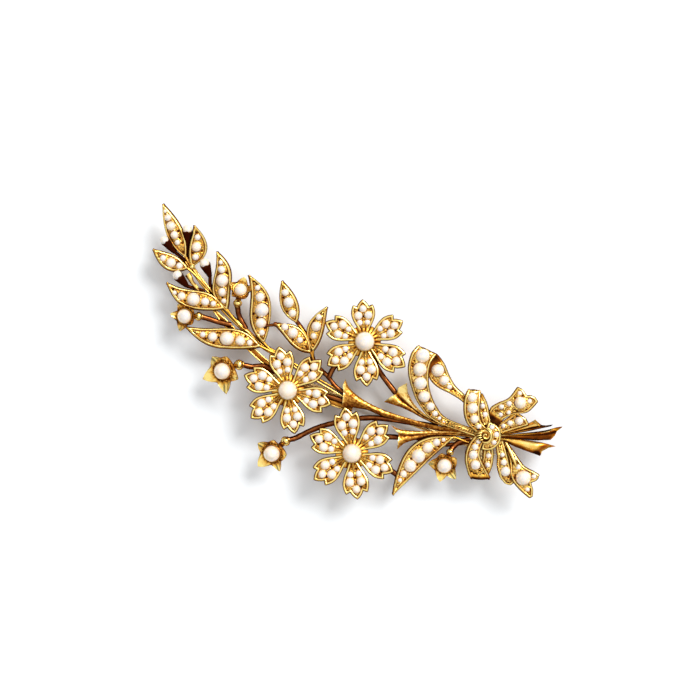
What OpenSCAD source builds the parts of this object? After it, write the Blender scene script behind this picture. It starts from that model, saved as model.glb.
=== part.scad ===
// Flower-spray brooch of gold set with half pearls, tied with a ribbon bow.
// It lies on its back: X runs from the leafy tip to the cut stem ends, Z comes out of the front.
// All lengths are in millimetres.

/* [Plates] */
// Thickness of the pearl-set leaves, petals and ribbons
plate_t = 0.8; // [0.7:0.05:0.9]
// Depth that each half pearl is let into its plate
seat_depth = 0.25; // [0.15:0.05:0.3]
// How far the middle of a leaf or ribbon stands above its edges
crown = 0.18; // [0.1:0.02:0.25]

/* [Flowers] */
// Radius of the three flower-centre pearls
centre_pearl_r = 1.45; // [1.3:0.05:1.5]
// Reach of a full petal's middle tooth from the flower's centre
petal_reach = 7.1; // [6.8:0.05:7.2]
// Upward tilt of the petals
petal_tilt = 5; // [3:1:7]

/* [Buds and berries] */
// Radius of a bud's star-shaped cup
bud_flare_r = 2.15; // [1.9:0.05:2.3]
// Tilt of the bud cups away from upright
bud_tilt = 24; // [15:1:30]

/* [Wires] */
// Radius of the main spray wires
wire_r = 0.42; // [0.35:0.01:0.45]
// Radius of the thin stalks
stalk_r = 0.32; // [0.25:0.01:0.35]

/* [Pin and catch] */
// Radius of the pin wire
pin_r = 0.4; // [0.35:0.01:0.42]
// Length of the pin from the rivet to its point
pin_len = 36.4; // [36:0.1:36.8]
// Outer radius of the catch barrel
barrel_r = 1.5; // [1.45:0.01:1.55]
// Running clearance between turning parts
run = 0.03; // [0.02:0.01:0.05]

/* [Hidden] */
$fn = 48;

gold = [0.86, 0.66, 0.30];
dark_gold = [0.66, 0.42, 0.18];
pearl = [0.95, 0.90, 0.84];
seat_gap = 0.01;

// ---- Rows that describe the pieces. Each is [x, y, ...] in millimetres.

// A leaf: tip, base, width, bow, sway, tip height, base height, roll, pearls [x, y, radius]
LEAVES = [
    [[-35.8, 12.2], [-29.0, 7.2], 2.7, 0.25, 0, 4.9, 4.1, -8,
        [[-35.0, 11.5, 0.32], [-34.15, 10.85, 0.55], [-33.1, 10.0, 0.7], [-31.95, 9.05, 0.62],
         [-31.0, 8.3, 0.45]]],
    [[-29.9, 11.8], [-27.7, 6.8], 2.5, -0.65, 0, 4.9, 4.1, 8,
        [[-28.7, 10.5, 0.5], [-28.1, 9.15, 0.75], [-27.5, 7.75, 0.55]]],
    [[-33.6, 5.5], [-27.7, 5.6], 2.3, 0.45, 0, 4.7, 4.1, 6,
        [[-31.7, 5.05, 0.5], [-30.3, 5.1, 0.75], [-28.95, 5.3, 0.5]]],
    [[-24.9, 10.0], [-19.3, 3.2], 2.8, 0, 0.4, 5.0, 4.1, -6,
        [[-23.65, 8.95, 0.38], [-23.0, 8.05, 0.58], [-22.1, 6.65, 0.92], [-21.2, 5.1, 0.65],
         [-20.3, 4.05, 0.42]]],
    [[-29.2, 2.1], [-19.8, 3.1], 2.9, 0.65, -0.35, 4.8, 4.1, 6,
        [[-27.5, 1.35, 0.38], [-26.3, 1.45, 0.6], [-24.5, 1.9, 0.95], [-22.75, 2.5, 0.65],
         [-21.5, 2.85, 0.45]]],
    [[-18.8, 9.4], [-11.8, 1.6], 3.2, -0.65, 0.35, 5.1, 4.1, 8,
        [[-16.8, 8.4, 0.45], [-15.75, 7.35, 0.7], [-14.55, 5.75, 1.05], [-13.65, 3.95, 0.8],
         [-12.8, 2.75, 0.48]]],
    [[-23.2, -2.3], [-12.0, 0.8], 3.1, 0.2, -0.35, 4.9, 4.1, 6,
        [[-20.5, -2.05, 0.45], [-19.0, -1.6, 0.7], [-17.0, -0.75, 1.05], [-15.05, 0.0, 0.75],
         [-13.65, 0.45, 0.48]]],
    [[-14.0, 11.1], [-9.0, 6.8], 2.5, 0.15, 0, 4.8, 4.1, -6,
        [[-12.75, 9.9, 0.55], [-11.55, 8.85, 0.8], [-10.2, 7.7, 0.6]]],
    [[-11.6, 4.9], [-4.8, 3.9], 2.6, -0.55, 0.1, 4.7, 4.1, 6,
        [[-10.15, 5.25, 0.55], [-8.65, 5.1, 0.8], [-7.15, 4.7, 0.5]]],
    [[-6.1, 11.1], [-4.6, 4.3], 2.4, 0.65, 0, 4.3, 4.0, -4,
        [[-6.35, 9.2, 0.48], [-6.0, 7.75, 0.75], [-5.6, 6.3, 0.48]]],
    [[17.2, -8.7], [20.8, 3.5], 3.3, -1.65, -0.15, 5.0, 4.3, -5,
        [[19.7, 2.45, 0.38], [18.95, 1.55, 0.58], [18.2, 0.2, 0.8], [17.6, -1.65, 0.98],
         [17.25, -3.6, 0.92], [16.98, -5.2, 0.55], [16.98, -6.3, 0.38]]],
];
leaf_steps = 12;
leaf_point = 0.12;

// A flower: centre, height of the plate's underside, then each petal's heading and size
FLOWERS = [
    [[-4.85, -2.9], 4.9, [[12, 0.98], [72, 0.97], [132, 0.96], [191, 1], [247, 1], [309, 0.95]]],
    [[1.6, 9.5], 5.0, [[-2, 1.03], [58, 0.93], [123, 0.9], [184, 0.94], [243, 0.96], [303, 0.98]]],
    [[8.5, -6.35], 5.0, [[6, 0.98], [68, 0.99], [129, 1.01], [187, 0.99], [245, 1], [307, 1]]],
];
// Half of a petal's outline, outwards along its middle
PETAL_EDGE = [[1.2, 0.5], [2.4, 1.0], [3.6, 1.62], [4.6, 1.88], [5.4, 1.84], [6.05, 1.6],
    [5.82, 0.92]];
// Pearls of one petal: distance out, distance across, radius
PETAL_PEARLS = [[3.3, 0.66, 0.46], [3.3, -0.66, 0.46], [4.5, 0.88, 0.6], [4.5, -0.88, 0.6],
    [5.65, 0, 0.53]];
gallery_bottom_z = 3.5;

// A bud: centre of the cup's floor, heading of its lean, pearl radius, scale of the cup
BUDS = [
    [[-23.9, -0.8, 3.9], 208, 1.1, 0.92],
    [[-18.75, 6.4, 4.0], 108, 1.0, 0.95],
    [[-14.75, -5.0, 4.2], 232, 1.25, 1.12],
    [[-1.95, -12.1, 4.1], 250, 1.25, 1.05],
    [[21.75, -0.45, 4.1], 275, 1.1, 0.97],
];
bud_points = 5;

// A stalk from under a bud: its bead's place, further points [x, y, z], the bead's radius
BUD_STALKS = [
    [[[-22.5, 0.05, 3.9], [-21.0, 0.5, 3.6], [-19.5, 0.8, 3.4], [-17.5, 1.4, 3.3]], 0.52],
    [[[-18.3, 4.8, 4.0], [-17.8, 4.0, 3.7], [-17.0, 3.1, 3.4], [-15.2, 2.0, 3.3]], 0.52],
    [[[-13.35, -3.3, 4.2], [-11.5, -2.6, 3.8], [-10.0, -1.6, 3.6], [-8.0, -1.5, 3.5]], 0.62],
    [[[-1.25, -9.9, 4.1], [-0.2, -8.8, 3.8], [1.0, -7.0, 3.5], [2.4, -5.2, 3.4],
        [3.9, -3.7, 3.4], [7.0, -1.1, 3.4], [10.0, 0.6, 3.4], [14.0, 2.2, 3.4],
        [18.0, 3.8, 3.5]], 0.58],
    [[[21.55, 1.3, 4.0], [21.6, 2.2, 3.8], [22.1, 3.4, 3.6], [23.2, 4.6, 3.5]], 0.45],
];
long_stalk = 3;
neck = 0.35;

// A berry: pearl centre, pearl radius, then the stalk's points from the cup
BERRIES = [
    [[-30.5, 10.75, 4.3], 0.62, [[-29.9, 9.0, 3.7], [-28.5, 7.0, 3.4], [-27.6, 6.3, 3.3]]],
    [[-32.9, 7.35, 4.3], 0.6, [[-31.2, 6.9, 3.7], [-29.5, 6.6, 3.4], [-27.6, 6.2, 3.3]]],
    [[-25.8, 7.75, 4.3], 0.8, [[-24.4, 6.8, 3.7], [-23.5, 5.3, 3.4], [-22.3, 4.1, 3.3]]],
    [[-28.6, 3.6, 4.0], 0.78, [[-26.9, 3.1, 3.7], [-25.5, 3.4, 3.4], [-23.6, 3.9, 3.3]]],
];

SPRAY_WIRE = [[-28.4, 6.5, 3.5], [-25.0, 5.0, 3.4], [-22.5, 4.1, 3.3], [-19.5, 2.9, 3.3],
    [-16.0, 2.0, 3.3], [-12.0, 1.1, 3.3], [-8.0, 0.9, 3.3], [-2.0, 0.6, 3.3], [4.0, 0.7, 3.4]];
BACK_WIRE = [[-27.0, 4.6, 3.4], [-20.5, 1.9, 3.3], [-18.0, 1.1, 3.3], [-13.0, -0.3, 3.3],
    [-9.5, -1.0, 3.3], [-4.0, -1.4, 3.3], [1.0, -1.3, 3.3], [5.2, -0.5, 3.4]];
SPRIG_WIRE = [[-9.4, 7.1, 3.9], [-7.0, 6.0, 3.6], [-5.0, 4.4, 3.5], [-3.8, 3.1, 3.4],
    [-2.2, 2.4, 3.4], [-0.4, 1.9, 3.4], [1.4, 1.2, 3.4], [4.0, 1.1, 3.4]];
FLOWER_STALKS = [
    [[-4.9, -2.9, 3.6], [-3.0, -2.0, 3.4], [0.0, -0.9, 3.3], [4.0, 0.0, 3.4]],
    [[1.55, 9.5, 3.7], [3.6, 8.2, 3.6], [6.2, 6.5, 3.5], [10.5, 4.7, 3.5]],
    [[1.2, 8.0, 3.7], [-0.1, 5.6, 3.6], [-0.5, 3.6, 3.5], [-0.4, 1.9, 3.4]],
    [[8.45, -6.4, 3.6], [9.8, -3.8, 3.5], [11.4, -1.9, 3.5], [14.2, -0.4, 3.5]],
    [[9.0, -6.3, 3.7], [12.0, -5.9, 3.7], [14.6, -5.7, 3.8], [16.6, -5.9, 4.1]],
];
LEAF_BAR = [[15.4, 0.5, 3.5], [17.8, 0.9, 3.4], [20.0, 1.7, 3.4], [22.0, 3.0, 3.4],
    [24.2, 4.9, 3.5]];

// A flared tube: [x, y, z, half width, half height] from its narrow end to its mouth
SHEATHS = [
    [[25.0, 6.0, 3.6, 0.5, 0.45], [20.5, 4.7, 3.6, 0.42, 0.42], [17.0, 3.25, 3.5, 0.36, 0.4],
     [13.0, 2.05, 3.5, 0.4, 0.42], [9.0, 1.2, 3.5, 0.48, 0.45], [6.5, 0.95, 3.6, 0.75, 0.5],
     [4.3, 0.75, 3.7, 1.2, 0.62], [2.6, 1.0, 3.9, 1.95, 0.75]],
    [[24.6, 6.4, 3.7, 0.5, 0.42], [20.5, 5.0, 3.7, 0.4, 0.4], [16.5, 4.15, 3.6, 0.4, 0.4],
     [13.5, 4.25, 3.6, 0.7, 0.5], [11.3, 4.5, 3.7, 1.15, 0.62], [9.5, 4.95, 3.9, 2.1, 0.75]],
    [[24.8, 5.6, 3.6, 0.45, 0.42], [20.5, 4.25, 3.6, 0.4, 0.4], [18.0, 2.85, 3.6, 0.42, 0.4],
     [16.4, 1.6, 3.6, 0.6, 0.45], [14.9, 0.35, 3.7, 0.9, 0.55], [13.2, -1.15, 3.9, 1.65, 0.7]],
];
STEM_ENDS = [
    [[24.8, 6.6, 4.2, 0.4, 0.4], [27.2, 7.9, 4.3, 0.45, 0.42], [29.4, 9.9, 4.4, 0.6, 0.45],
     [30.8, 11.5, 4.5, 0.85, 0.5], [32.0, 12.9, 4.6, 1.3, 0.6]],
    [[25.4, 6.4, 4.2, 0.4, 0.4], [28.2, 8.2, 4.2, 0.5, 0.42], [31.0, 10.0, 4.2, 0.65, 0.45],
     [32.8, 11.1, 4.3, 0.9, 0.5], [34.5, 12.2, 4.4, 1.3, 0.6]],
    [[25.6, 6.0, 4.2, 0.4, 0.4], [28.4, 7.3, 4.2, 0.5, 0.42], [31.2, 8.1, 4.2, 0.65, 0.45],
     [33.0, 8.5, 4.2, 0.9, 0.5], [34.8, 8.95, 4.3, 1.25, 0.6]],
];
// Depth of the fishtail notch cut in the mouth
notch_depth = 1.1;

// A ribbon band: stations [left x, y, z, right x, y, z], then its pearls [x, y, radius]
LARGE_FRONT = [
    [[12.1, 13.2, 6.2, 9.0, 13.0, 6.3], [12.0, 11.6, 6.5, 8.85, 11.4, 6.7],
     [12.6, 9.9, 6.5, 9.5, 9.3, 6.6], [13.9, 8.0, 6.2, 11.1, 7.3, 6.3],
     [16.0, 6.3, 5.8, 13.7, 5.3, 5.8], [18.6, 5.5, 5.4, 17.2, 4.3, 5.4],
     [24.0, 6.4, 5.4, 23.6, 5.4, 5.3]],
    [[10.4, 12.0, 1.0], [11.05, 10.0, 1.0], [12.2, 8.2, 0.92], [13.75, 6.75, 0.85],
     [15.35, 5.9, 0.62], [16.5, 5.3, 0.45], [17.45, 5.0, 0.33], [18.3, 4.9, 0.28]]];
LARGE_BACK = [
    [[12.3, 13.3, 5.4, 12.3, 10.4, 5.2], [14.0, 12.5, 5.2, 13.4, 9.5, 5.0],
     [15.6, 11.3, 5.0, 15.0, 9.1, 4.9], [17.2, 10.4, 4.9, 17.1, 9.2, 4.8],
     [19.4, 9.9, 4.8, 19.3, 9.1, 4.8], [22.0, 9.1, 4.6, 21.6, 8.3, 4.6],
     [24.4, 7.9, 4.7, 23.9, 7.2, 4.7]],
    [[13.55, 11.25, 0.92], [15.2, 10.4, 0.72], [16.4, 9.95, 0.42]]];
UPPER_FRONT = [
    [[20.9, 11.6, 6.1, 19.1, 10.8, 6.2], [21.6, 10.2, 6.4, 19.3, 9.6, 6.5],
     [22.3, 8.8, 6.3, 20.3, 7.7, 6.4], [23.3, 7.7, 6.1, 21.8, 6.4, 6.1],
     [24.9, 7.2, 5.9, 24.3, 5.9, 5.9]],
    [[20.2, 10.3, 0.7], [21.05, 8.9, 0.75], [22.15, 7.6, 0.65], [23.3, 6.95, 0.42]]];
UPPER_BACK = [
    [[21.3, 11.5, 5.5, 20.3, 10.8, 5.5], [22.6, 10.6, 5.4, 21.6, 9.6, 5.4],
     [23.6, 9.6, 5.4, 22.5, 8.7, 5.4], [24.8, 8.2, 5.5, 23.8, 7.5, 5.5]],
    [[22.25, 9.95, 0.42], [23.25, 9.0, 0.45]]];
LOWER_FRONT = [
    [[25.2, 5.8, 6.0, 23.8, 6.0, 6.0], [25.2, 4.4, 6.1, 23.4, 4.3, 6.1],
     [25.6, 3.2, 6.1, 23.6, 2.6, 6.1], [26.6, 2.3, 6.0, 24.3, 1.2, 6.0],
     [28.2, 1.3, 5.6, 25.6, -0.1, 5.6]],
    [[24.4, 4.9, 0.4], [24.4, 3.95, 0.48], [24.75, 2.75, 0.68], [25.8, 1.6, 0.72]]];
LOWER_BACK = [
    [[26.6, 1.3, 4.8, 28.3, 1.4, 4.8], [26.5, 2.6, 4.9, 28.1, 2.7, 4.9],
     [26.0, 3.9, 5.0, 27.5, 4.2, 5.0], [25.4, 5.2, 5.1, 26.7, 5.4, 5.1]],
    [[26.9, 3.8, 0.42], [27.5, 2.5, 0.42]]];
UPPER_TAIL = [
    [[24.5, 8.2, 5.4, 25.9, 8.2, 5.4], [23.6, 10.0, 5.6, 26.0, 9.8, 5.6],
     [24.1, 11.4, 5.9, 27.0, 11.2, 5.9], [25.2, 13.0, 6.1, 28.6, 12.6, 6.1],
     [25.5, 15.1, 6.0, 29.2, 14.7, 6.0]],
    [[24.8, 11.3, 0.42], [25.6, 12.3, 0.42], [26.2, 11.1, 0.38], [25.3, 10.2, 0.38],
     [27.0, 13.3, 0.88], [26.2, 14.5, 0.38], [28.1, 14.2, 0.4]]];
UPPER_TAIL_FOLD = [
    [[25.6, 8.3, 4.8, 26.9, 7.8, 4.8], [26.4, 9.7, 4.8, 28.0, 9.0, 4.8],
     [27.2, 11.5, 4.9, 29.8, 10.9, 4.9]],
    [[26.6, 8.9, 0.38], [27.3, 9.8, 0.46], [28.3, 10.8, 0.62]]];
LOWER_TAIL = [
    [[27.6, 6.9, 5.6, 26.9, 5.9, 5.6], [29.2, 5.4, 5.6, 28.1, 4.5, 5.6],
     [30.4, 4.1, 5.4, 28.9, 3.1, 5.4], [31.5, 3.0, 5.2, 30.1, 1.9, 5.2],
     [32.3, 2.2, 5.0, 31.3, 1.4, 5.0]],
    [[28.65, 5.0, 0.4], [29.4, 4.1, 0.5], [30.35, 3.0, 0.7]]];
LOWER_TAIL_FOLD = [
    [[28.2, 7.0, 4.9, 27.8, 6.2, 4.9], [29.8, 6.3, 5.0, 29.3, 5.4, 5.0],
     [31.2, 5.6, 5.3, 30.4, 4.4, 5.3], [32.4, 5.1, 5.6, 31.7, 2.6, 5.6],
     [34.0, 5.1, 5.8, 33.5, 1.8, 5.8], [35.1, 5.1, 5.8, 35.4, 1.4, 5.8]],
    [[30.6, 5.35, 0.38], [31.7, 4.55, 0.42], [33.2, 3.5, 1.05], [34.5, 4.5, 0.38],
     [34.6, 2.3, 0.38]]];
KNOT_BAND = [
    [[24.3, 8.3, 6.0, 24.5, 7.2, 6.5], [25.3, 8.4, 6.0, 25.2, 7.15, 6.6],
     [26.3, 8.1, 6.0, 25.6, 6.9, 6.6], [27.0, 7.2, 6.0, 25.85, 6.55, 6.6],
     [27.2, 6.3, 6.0, 25.9, 6.1, 6.6], [26.9, 5.3, 6.0, 25.75, 5.6, 6.6],
     [26.2, 4.6, 6.0, 25.5, 5.3, 6.5], [25.4, 4.3, 5.9, 25.2, 5.1, 6.4]],
    [[25.1, 7.85, 0.42], [26.25, 7.2, 0.46], [26.5, 6.0, 0.42]]];
BANDS = [LARGE_FRONT, LARGE_BACK, UPPER_FRONT, UPPER_BACK, LOWER_FRONT, LOWER_BACK,
    UPPER_TAIL, UPPER_TAIL_FOLD, LOWER_TAIL, LOWER_TAIL_FOLD, KNOT_BAND];
band_steps = 3;

// The hub inside the knot, which every ribbon is soldered to
hub = [24.9, 6.25];
hub_r = 0.95;
hub_z = 4.2;
hub_top = 6.5;

// The pin's line: its hinge, its heading and its height above the table
hinge = [-8.0, -1.5];
pin_heading = 9.3;
mouth = 1.25;
pin_z = sqrt(barrel_r * barrel_r - mouth * mouth / 4);
pin_taper = 6.5;
pin_point_r = 0.1;
knuckle_r = 0.98;
knuckle_half = 0.5;
ear_inner = 0.55;
ear_outer = 1.45;
rivet_r = 0.4;
rivet_head_r = 0.62;
bracket_top = 3.1;
bracket_under = 2.66;
catch_from = 32.4;
catch_len = 2.6;
sleeve_r = 1.06;
sleeve_bore = 0.55;
flange_r = 1.4;
flange_t = 0.4;
slot = 1.0;
tab_reach = 2.3;
tab_turn = 75;

// ---- Curves and frames

function unit(v) = v / norm(v);
function xyz(v) = [v[0], v[1], v[2]];

// Smooth curve through rows of numbers, with a number of steps between two rows
function blend4(a, b, c, d, u) = 0.5 * (2 * b + (c - a) * u + (2 * a - 5 * b + 4 * c - d) * u * u
    + (3 * b - a - 3 * c + d) * u * u * u);
function curve(p, steps) = let (m = len(p) - 1)
    [for (i = [0:m - 1]) for (k = [0:steps - 1])
        blend4(p[max(i - 1, 0)], p[i], p[i + 1], p[min(i + 2, m)], k / steps), p[m]];

function along(p, i) = unit(xyz(p[min(i + 1, len(p) - 1)]) - xyz(p[max(i - 1, 0)]));

// Stations of a band: [middle, half of the way from right to left, direction, normal]
function left(s) = [s[0], s[1], s[2]];
function right(s) = [s[3], s[4], s[5]];
function middle(s) = (left(s) + right(s)) / 2;
function frames(s) = [for (i = [0:len(s) - 1])
    let (m = middle(s[i]), w = (left(s[i]) - right(s[i])) / 2,
         t = unit(middle(s[min(i + 1, len(s) - 1)]) - middle(s[max(i - 1, 0)])))
    [m, w, t, unit(cross(t, w))]];

// Stations of a leaf from its base to its tip
function leaf_width(t, w) = max(leaf_point, w / 2 * pow(sin(180 * pow(t, 0.85)), 0.9));
function leaf_stations(leaf) = [for (i = [0:leaf_steps])
    let (t = i / leaf_steps, tip = leaf[0], base = leaf[1], way = unit(tip - base),
         side = [-way[1], way[0]],
         off = leaf[3] * 4 * t * (1 - t) + leaf[4] * sin(360 * t),
         c = base + (tip - base) * t + side * off,
         z = leaf[6] + (leaf[5] - leaf[6]) * t, half = leaf_width(t, leaf[2]),
         dx = side[0] * half * cos(leaf[7]), dy = side[1] * half * cos(leaf[7]),
         dz = half * sin(leaf[7]))
    [c[0] + dx, c[1] + dy, z + dz, c[0] - dx, c[1] - dy, z - dz]];

// The place and normal of a pearl's flat back on a band, under the point [x, y]
function nearest(f, p) = let (d = [for (s = f) norm([s[0][0] - p[0], s[0][1] - p[1]])])
    [for (i = [0:len(d) - 1]) if (d[i] == min(d)) i][0];
function pearl_seat(f, p) = let (s = f[nearest(f, p)], m = s[0], n = s[3],
    z = m[2] - (n[0] * (p[0] - m[0]) + n[1] * (p[1] - m[1])) / n[2])
    [[p[0], p[1], z] + n * (crown - seat_depth), n, p[2]];
function pearl_seats(f, list) = [for (p = list) pearl_seat(f, p)];

// ---- Shapes

// A solid through rings of points
module loft(rings) {
    n = len(rings[0]);
    m = len(rings);
    sides = [for (i = [0:m - 2]) for (k = [0:n - 1])
        let (a = i * n + k, b = i * n + (k + 1) % n)
        each [[a, a + n, b + n], [a, b + n, b]]];
    ends = [[for (k = [0:n - 1]) k], [for (k = [n - 1:-1:0]) (m - 1) * n + k]];
    polyhedron([for (r = rings) each r], concat(ends, sides), convexity = 8);
}

// A band of even thickness with a crowned top
module band(f) {
    loft([for (s = f) let (m = s[0], w = s[1], n = s[3])
        [m + w, m + n * crown, m - w, m - w - n * plate_t, m + w - n * plate_t]]);
}

// A tube through rows [x, y, z, half width, half height]
module tube(rows, steps = 2, sides = 8) {
    s = curve(rows, steps);
    loft([for (i = [0:len(s) - 1])
        let (t = along(s, i), side = unit(cross([0, 0, 1], t)), up = cross(t, side))
        [for (k = [0:sides - 1]) let (a = 360 * (k + 0.5) / sides)
            xyz(s[i]) + side * s[i][3] * cos(a) + up * s[i][4] * sin(a)]]);
}
module wire(points, r) {
    tube([for (p = points) [p[0], p[1], p[2], r, r]]);
}

module at_seat(seat) {
    n = seat[1];
    translate(seat[0]) rotate([0, acos(n[2]), atan2(n[1], n[0])]) children();
}
module half_pearl(r) {
    intersection() {
        sphere(r);
        translate([-2 * r, -2 * r, 0]) cube(4 * r);
    }
}
module half_pearls(seats) {
    color(pearl) for (s = seats) at_seat(s) half_pearl(s[2]);
}
module set_band(f, pearls) {
    difference() {
        band(f);
        for (s = pearl_seats(f, pearls)) at_seat(s) cylinder(r = s[2] + seat_gap, h = 1.5);
    }
}

// ---- Leaves

module leaf(i) {
    color(gold) set_band(frames(leaf_stations(LEAVES[i])), LEAVES[i][8]);
}
module leaf_pearls(from, to) {
    for (i = [from:to]) half_pearls(pearl_seats(frames(leaf_stations(LEAVES[i])), LEAVES[i][8]));
}

// ---- Flowers

module petal_places(flower) {
    translate([flower[0][0], flower[0][1], flower[1]])
        for (petal = flower[2]) rotate([0, -petal_tilt, petal[0]]) scale(petal[1]) children();
}
module petal_outline() {
    upper = concat(PETAL_EDGE, [[petal_reach, 0]]);
    lower = [for (i = [len(PETAL_EDGE) - 1:-1:0]) [PETAL_EDGE[i][0], -PETAL_EDGE[i][1]]];
    polygon(concat(upper, lower));
}
module flower_petals(flower) {
    color(gold) difference() {
        union() {
            petal_places(flower) linear_extrude(plate_t) petal_outline();
            translate([flower[0][0], flower[0][1], 0]) rotate_extrude()
                polygon([[0, gallery_bottom_z], [0.7, gallery_bottom_z], [2.3, flower[1] + 0.1],
                    [2.3, flower[1] + plate_t], [0, flower[1] + plate_t]]);
        }
        petal_places(flower) for (p = PETAL_PEARLS)
            translate([p[0], p[1], plate_t - seat_depth]) cylinder(r = p[2] + seat_gap, h = 1);
        translate([flower[0][0], flower[0][1], flower[1] + 0.25]) cylinder(r = 2, h = 2);
    }
}
module flower_cup(flower) {
    floor_z = flower[1] + 0.25;
    color(gold) translate([flower[0][0], flower[0][1], floor_z]) difference() {
        union() {
            rotate_extrude() polygon([[0, 0], [2, 0], [2, 0.45], [1.5, 0.95], [0, 0.95]]);
            for (a = [0:20:340]) rotate(a) translate([1.3, -0.1, 0.4]) cube([0.6, 0.2, 0.35]);
        }
        translate([0, 0, centre_pearl_r + 0.12]) sphere(centre_pearl_r + seat_gap);
    }
}
module flower_centre_pearl(flower) {
    color(pearl) translate([flower[0][0], flower[0][1], flower[1] + 0.37 + centre_pearl_r])
        sphere(centre_pearl_r);
}
module flower_petal_pearls(flower) {
    color(pearl) petal_places(flower) for (p = PETAL_PEARLS)
        translate([p[0], p[1], plate_t - seat_depth]) half_pearl(p[2]);
}

// ---- Buds and berries

module at_bud(bud) {
    translate(bud[0]) rotate([0, bud_tilt, bud[1]]) children();
}
module bud_cup(bud) {
    s = bud[3];
    r = bud_flare_r * s;
    color(gold) at_bud(bud) difference() {
        rotate_extrude() polygon([[0, -0.45], [0.5 * s, -0.45], [1.15 * s, 0.1], [1.45 * s, 0.75],
            [r, 1.15], [r, 1.45], [1.3 * s, 1.15], [0, 1.15]]);
        translate([0, 0, bud[2] + 0.05]) sphere(bud[2] + seat_gap);
        for (i = [0:bud_points - 1]) rotate(36 + i * 360 / bud_points) translate([0, 0, 0.3])
            linear_extrude(2) polygon([[1.42 * s, 0], [r + 0.4, -1.45 * s], [r + 0.4, 1.45 * s]]);
    }
}
module bud_pearls() {
    color(pearl) for (b = BUDS) at_bud(b) translate([0, 0, b[2] + 0.05]) sphere(b[2]);
}
module bud_stalk(i) {
    points = BUD_STALKS[i][0];
    r = BUD_STALKS[i][1];
    start = BUDS[i][0] - [0, 0, neck];
    way = unit(points[1] - start);
    color(dark_gold) tube(concat(
        [concat(start, [stalk_r, stalk_r])],
        [for (s = [-0.7, 0, 0.7]) concat(points[0] + way * s * r, [1, 1] * r * sqrt(1 - s * s))],
        [for (k = [1:len(points) - 1]) concat(points[k], [stalk_r, stalk_r])]));
}
module bud_stalks() {
    for (i = [0:len(BUDS) - 1]) if (i != long_stalk) bud_stalk(i);
}

// Each berry's cup opens from its stalk's end towards the pearl
module at_berry(b) {
    way = b[0] - b[2][0];
    translate(b[0]) rotate([0, acos(way[2] / norm(way)), atan2(way[1], way[0])]) children();
}
module berry_cups() {
    for (b = BERRIES) {
        reach = norm(b[0] - b[2][0]);
        r = b[1];
        color(gold) at_berry(b) difference() {
            rotate_extrude() polygon([[0, -reach], [0.3, -reach], [0.45, -r - 0.3], [r + 0.2, -0.1],
                [r + 0.2, 0.1], [0, 0.1]]);
            sphere(r + seat_gap);
        }
        color(dark_gold) wire(b[2], stalk_r * 0.85);
    }
}
module berry_pearls() {
    color(pearl) for (b = BERRIES) translate(b[0]) sphere(b[1]);
}

// ---- Wires, sheaths and stem ends

module spray_wire() { color(dark_gold) wire(SPRAY_WIRE, wire_r); }
module back_wire() { color(dark_gold) wire(BACK_WIRE, wire_r); }
module sprig_wire() { color(dark_gold) wire(SPRIG_WIRE, stalk_r); }
module flower_stalks() { color(dark_gold) for (s = FLOWER_STALKS) wire(s, stalk_r); }
module leaf_bar() { color(dark_gold) wire(LEAF_BAR, stalk_r); }

// A flared tube whose mouth is cut to a fishtail
module fishtail(rows) {
    last = len(rows) - 1;
    mouth_row = rows[last];
    way = xyz(rows[last]) - xyz(rows[last - 1]);
    color(gold) difference() {
        tube(rows, 2, 10);
        translate([mouth_row[0], mouth_row[1], 0]) rotate(atan2(way[1], way[0]))
            linear_extrude(10) polygon([[-notch_depth, 0], [0.5, -mouth_row[3] * 0.9],
                [0.5, mouth_row[3] * 0.9]]);
    }
}

// ---- Ribbon bow

module ribbon(band_row) {
    color(gold) set_band(frames(curve(band_row[0], band_steps)), band_row[1]);
}
module bow_knot() {
    color(gold) union() {
        ribbon(KNOT_BAND);
        translate([hub[0], hub[1], 0]) rotate_extrude()
            polygon([[0, hub_z], [hub_r + 0.6, hub_z], [hub_r, hub_z + 0.9], [hub_r, hub_top - 0.5],
                [hub_r - 0.4, hub_top], [0, hub_top]]);
    }
}
module bow_pearls() {
    for (b = BANDS) half_pearls(pearl_seats(frames(curve(b[0], band_steps)), b[1]));
}

// ---- Pin, hinge and catch, drawn along +X from the rivet

module on_pin_line() {
    translate([hinge[0], hinge[1], pin_z]) rotate(pin_heading) children();
}
module across(y0, y1, r) {
    translate([0, y1, 0]) rotate([90, 0, 0]) cylinder(r = r, h = y1 - y0);
}
module hinge_bracket() {
    color(gold) on_pin_line() difference() {
        union() {
            for (side = [0, 1]) mirror([0, side, 0]) {
                across(ear_inner, ear_outer, knuckle_r);
                translate([-0.7, ear_inner, 0])
                    cube([1.4, ear_outer - ear_inner, bracket_under - pin_z + 0.1]);
            }
            translate([-1.3, -ear_outer, bracket_under - pin_z])
                cube([2.6, 2 * ear_outer, bracket_top - bracket_under]);
        }
        across(-ear_outer - 1, ear_outer + 1, rivet_r);
    }
}
module hinge_rivet() {
    color(gold) on_pin_line() union() {
        across(-ear_outer, ear_outer, rivet_r);
        for (side = [0, 1]) mirror([0, side, 0]) across(ear_outer, ear_outer + 0.25, rivet_head_r);
    }
}
module pin() {
    color(gold) on_pin_line() difference() {
        union() {
            across(-knuckle_half, knuckle_half, knuckle_r - 0.05);
            rotate([0, 90, 0]) rotate_extrude() polygon([[0, 0.3], [pin_r, 0.3],
                [pin_r, pin_len - pin_taper], [pin_r * 0.62, pin_len - pin_taper * 0.45],
                [pin_point_r, pin_len], [0, pin_len]]);
        }
        across(-2, 2, rivet_r + run);
    }
}
module along_pin(from, to, r) {
    translate([from, 0, 0]) rotate([0, 90, 0]) cylinder(r = r, h = to - from);
}
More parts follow.
